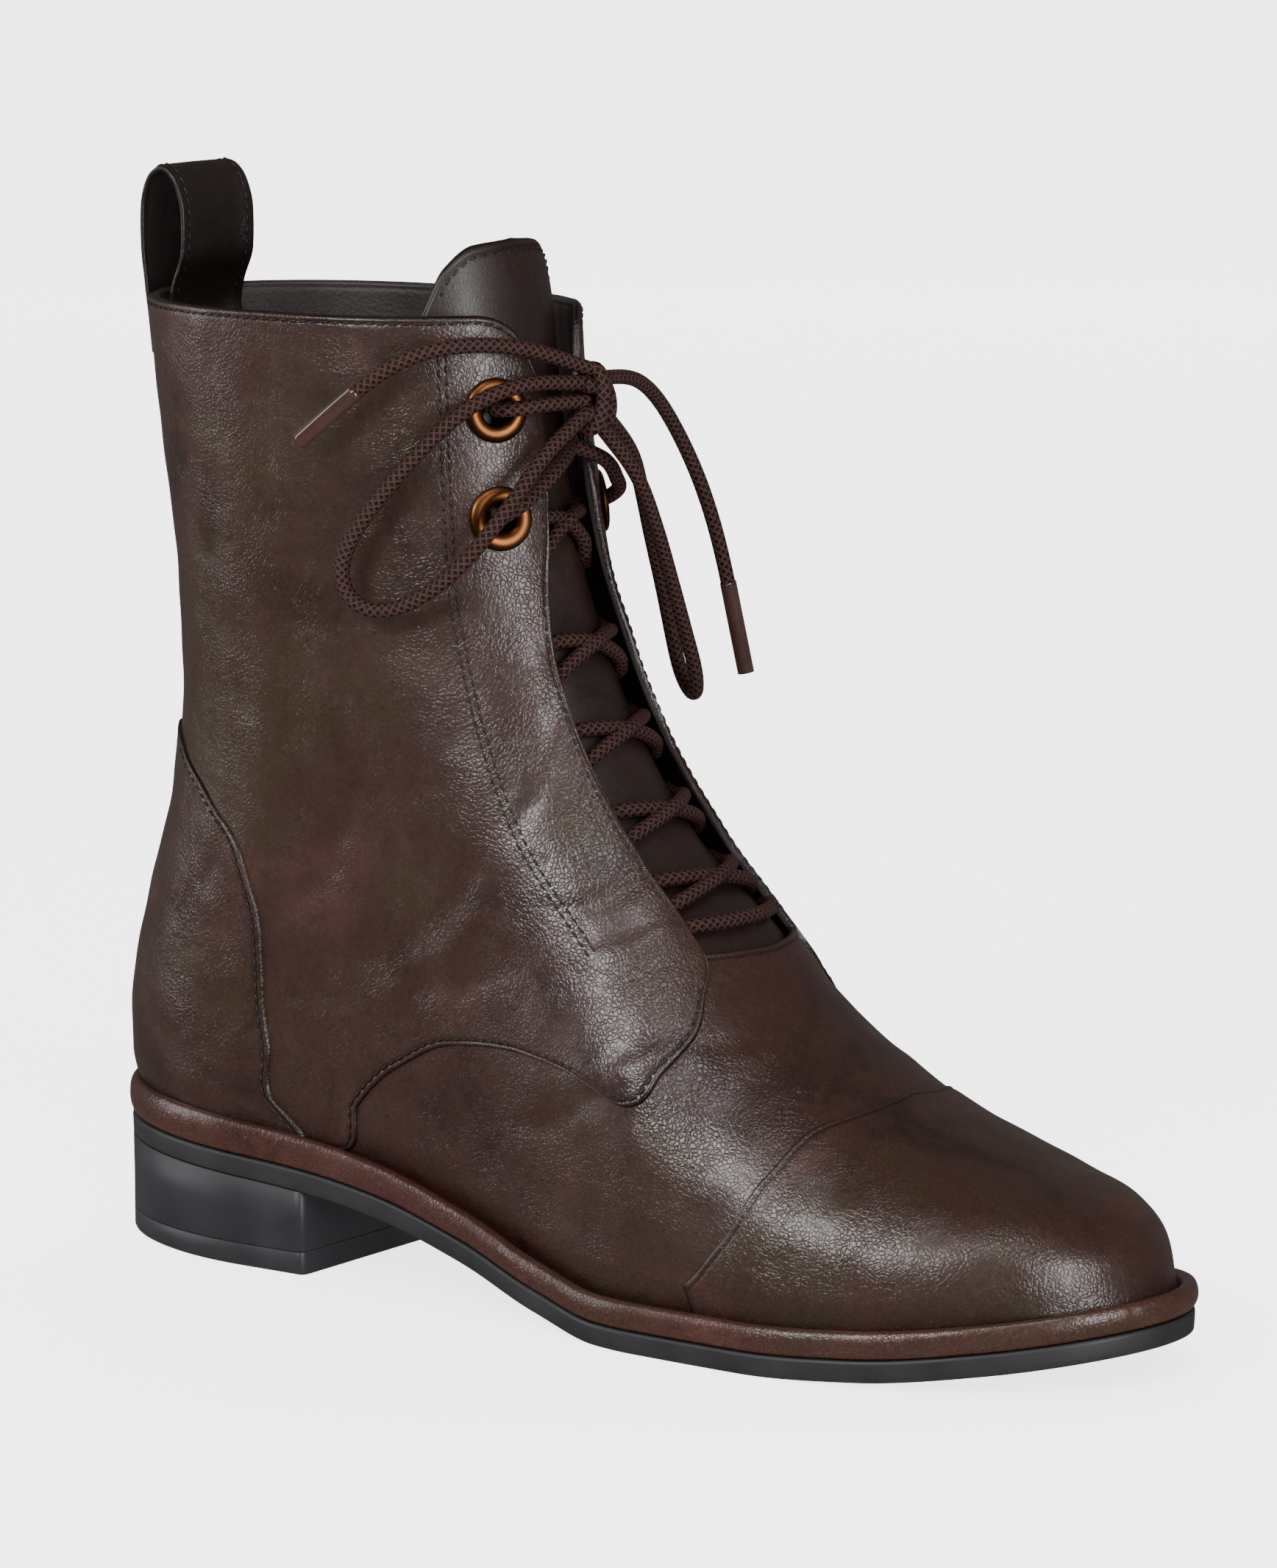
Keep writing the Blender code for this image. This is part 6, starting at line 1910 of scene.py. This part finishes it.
# Tongue: one row round its top; pull loop: one row along each edge
t = np.linspace(-0.93, 0.93, 400)
share, top = columns(TONGUE_UPPER)
c, a = moved_line(follow(np.abs(t), share, top), 1 + t * TONGUE_SPREAD, 2.4 * MM)
lay_stitches("stitch_tongue", tongue_point(c, a, np.zeros_like(c)), outward(c, a), ["tongue"],
             "tongue_leather")
LOOP_SEAM_INSET = 2.2 * MM
x, z, hug, slope = pull_loop_lines(500)
for word, y in (("left", -1), ("right", 1)):
    across = np.array([[y * (PULL_LOOP_WIDTH / 2 - LOOP_SEAM_INSET)]])
    place = pull_loop_point(x, z, hug, slope, across, PULL_LOOP_THICKNESS / 2)[:, 0]
    out = np.stack([-slope[:, 1], 0 * x, slope[:, 0]], axis=-1)
    lay_stitches(f"stitch_loop_{word}", place[40:-60], out[40:-60], ["pull_loop"], "brown_leather")

# %% [markdown]
# The slider is cast: an upper and a lower plate and a bridge between them that carries the pull. The pull is
# stamped, a plate with a window that the bridge goes through. All have soft edges, because an edge's
# highlight is what shows such small metal. The slider stays closed; the pull turns and hangs down at rest.

# %% Slider and pull
way = float(follow(SLIDER_AT, line_c, line_a))
slider_centre, slider_along, slider_up, slider_out = frame_at(SLIDER_AT, way, PANEL + SEAT_GAP)


def in_slider_frame(points):
    """Points of (along, up, out) from the slider's middle, in last coordinates."""
    return (slider_centre + points[..., :1] * slider_along + points[..., 1:2] * slider_up
            + points[..., 2:] * slider_out)


def squared_circle(turn, power):
    """A circle's two coordinates, squared up towards a rounded rectangle the smaller the power is."""
    x, y = np.cos(turn), np.sin(turn)
    return np.sign(x) * np.abs(x) ** power, np.sign(y) * np.abs(y) ** power


def waist(points):
    """Narrows the body at the foot, as a slider's diamonds do."""
    points = points.copy()
    points[..., 0] *= 1 - 0.16 * ease((-points[..., 1] / (SLIDER_LENGTH / 2) + 0.1) / 0.9)
    return points


def rounded_plate(half_x, half_y, low, high, bevel):
    """Rings of a plate with rounded corners and edges, narrowed at its foot."""
    x, y = squared_circle(np.linspace(0, 2 * pi, 129)[:-1], 0.28)
    below = [(half_x, low), (1.2 * bevel, low), (0.35 * bevel, low + 0.3 * bevel), (0, low + bevel)]
    above = [(inset, low + high - z) for inset, z in reversed(below)]
    return waist(np.array([np.stack([x * max(half_x - inset, 1e-6), y * max(half_y - inset, 1e-6),
                                     np.full_like(x, z)], axis=1) for inset, z in below + above]))


body = rounded_plate(SLIDER_WIDTH / 2, SLIDER_LENGTH / 2, 0, SLIDER_HEIGHT, 0.7 * MM)
# The lower plate that runs on the coil, narrow enough to sit in the slot
foot = rounded_plate(ZIP_SLOT / 2 - 0.4 * MM, SLIDER_LENGTH / 2 - 1 * MM, -1.9 * MM, 0.3 * MM, 0.4 * MM)
for word, plate in (("body", body), ("foot", foot)):
    points = in_slider_frame(plate)
    made = facing("zip_slider_" + word, points, points - points.mean(axis=(0, 1)), GUNMETAL, close_cols=True)
    keep(made, "zip_slider", slot="gunmetal")
s = np.linspace(0, 1, 40)
roof = SLIDER_HEIGHT + BRIDGE_ROOM + BRIDGE_ROOF / 2
bridge_half = (BRIDGE_LENGTH - BRIDGE_POST) / 2
sunk_foot = SLIDER_HEIGHT - 0.5 * MM
arch = np.stack([0 * s, bridge_half * -np.cos(pi * s) * (1 + 0.12 * np.sin(pi * s)),
                 sunk_foot + (roof - sunk_foot) * np.sin(pi * s) ** 0.42], axis=1)
rings, uv = tube_grid(arch, 1.0, sides=16)
rings = arch[:, None] + (rings - arch[:, None]) * np.array([BRIDGE_WIDTH / 2, 0.62 * MM, 0.62 * MM])
points = in_slider_frame(rings)
made = facing("zip_slider_bridge", points, points - in_slider_frame(arch)[:, None], GUNMETAL)
keep(made, "zip_slider", slot="gunmetal")

axis_height = SLIDER_HEIGHT + BRIDGE_ROOM / 2
window = BRIDGE_WIDTH / 2 + PULL_WINDOW_ROOM
thick = PULL_THICKNESS / 2


def pull_ring(inner, share_in, z):
    """Outline of the pull or of its window, as a closed ring of (x, y, z), from its top round."""
    cy, cx = squared_circle(np.linspace(0, 2 * pi, 97)[:-1], 0.35)
    if inner:
        half_x, low, high = window + share_in, -thick - PULL_WINDOW - share_in, -thick + share_in
    else:
        half_x, low, high = PULL_WIDTH / 2 - share_in, -PULL_LENGTH + share_in, thick - share_in
    x = cx * half_x
    y = (low + high) / 2 + cy * (high - low) / 2
    if not inner:
        x = x * (1 - 0.14 * ease((y + 0.55 * PULL_LENGTH) / (0.5 * PULL_LENGTH)))
    return np.stack([x, y, np.full_like(x, z)], axis=1)


round_off = 0.35 * MM
section = ((True, 0.0, thick - round_off), (True, round_off * 0.7, thick), (False, round_off * 1.2, thick),
           (False, 0.0, thick - round_off), (False, 0.0, round_off - thick), (False, round_off * 1.2, -thick),
           (True, round_off * 0.7, -thick), (True, 0.0, round_off - thick), (True, 0.0, thick - round_off))
pull = np.array([pull_ring(*row) for row in section])
pull[..., 2] += axis_height
points = in_slider_frame(pull)
away = slider_out * np.sign(pull[..., 2:] - axis_height + 1e-9)
made = facing("zip_pull_plate", points, away, GUNMETAL, close_cols=True)
keep(made, "zip_pull", slot="gunmetal", body="zip_pull")
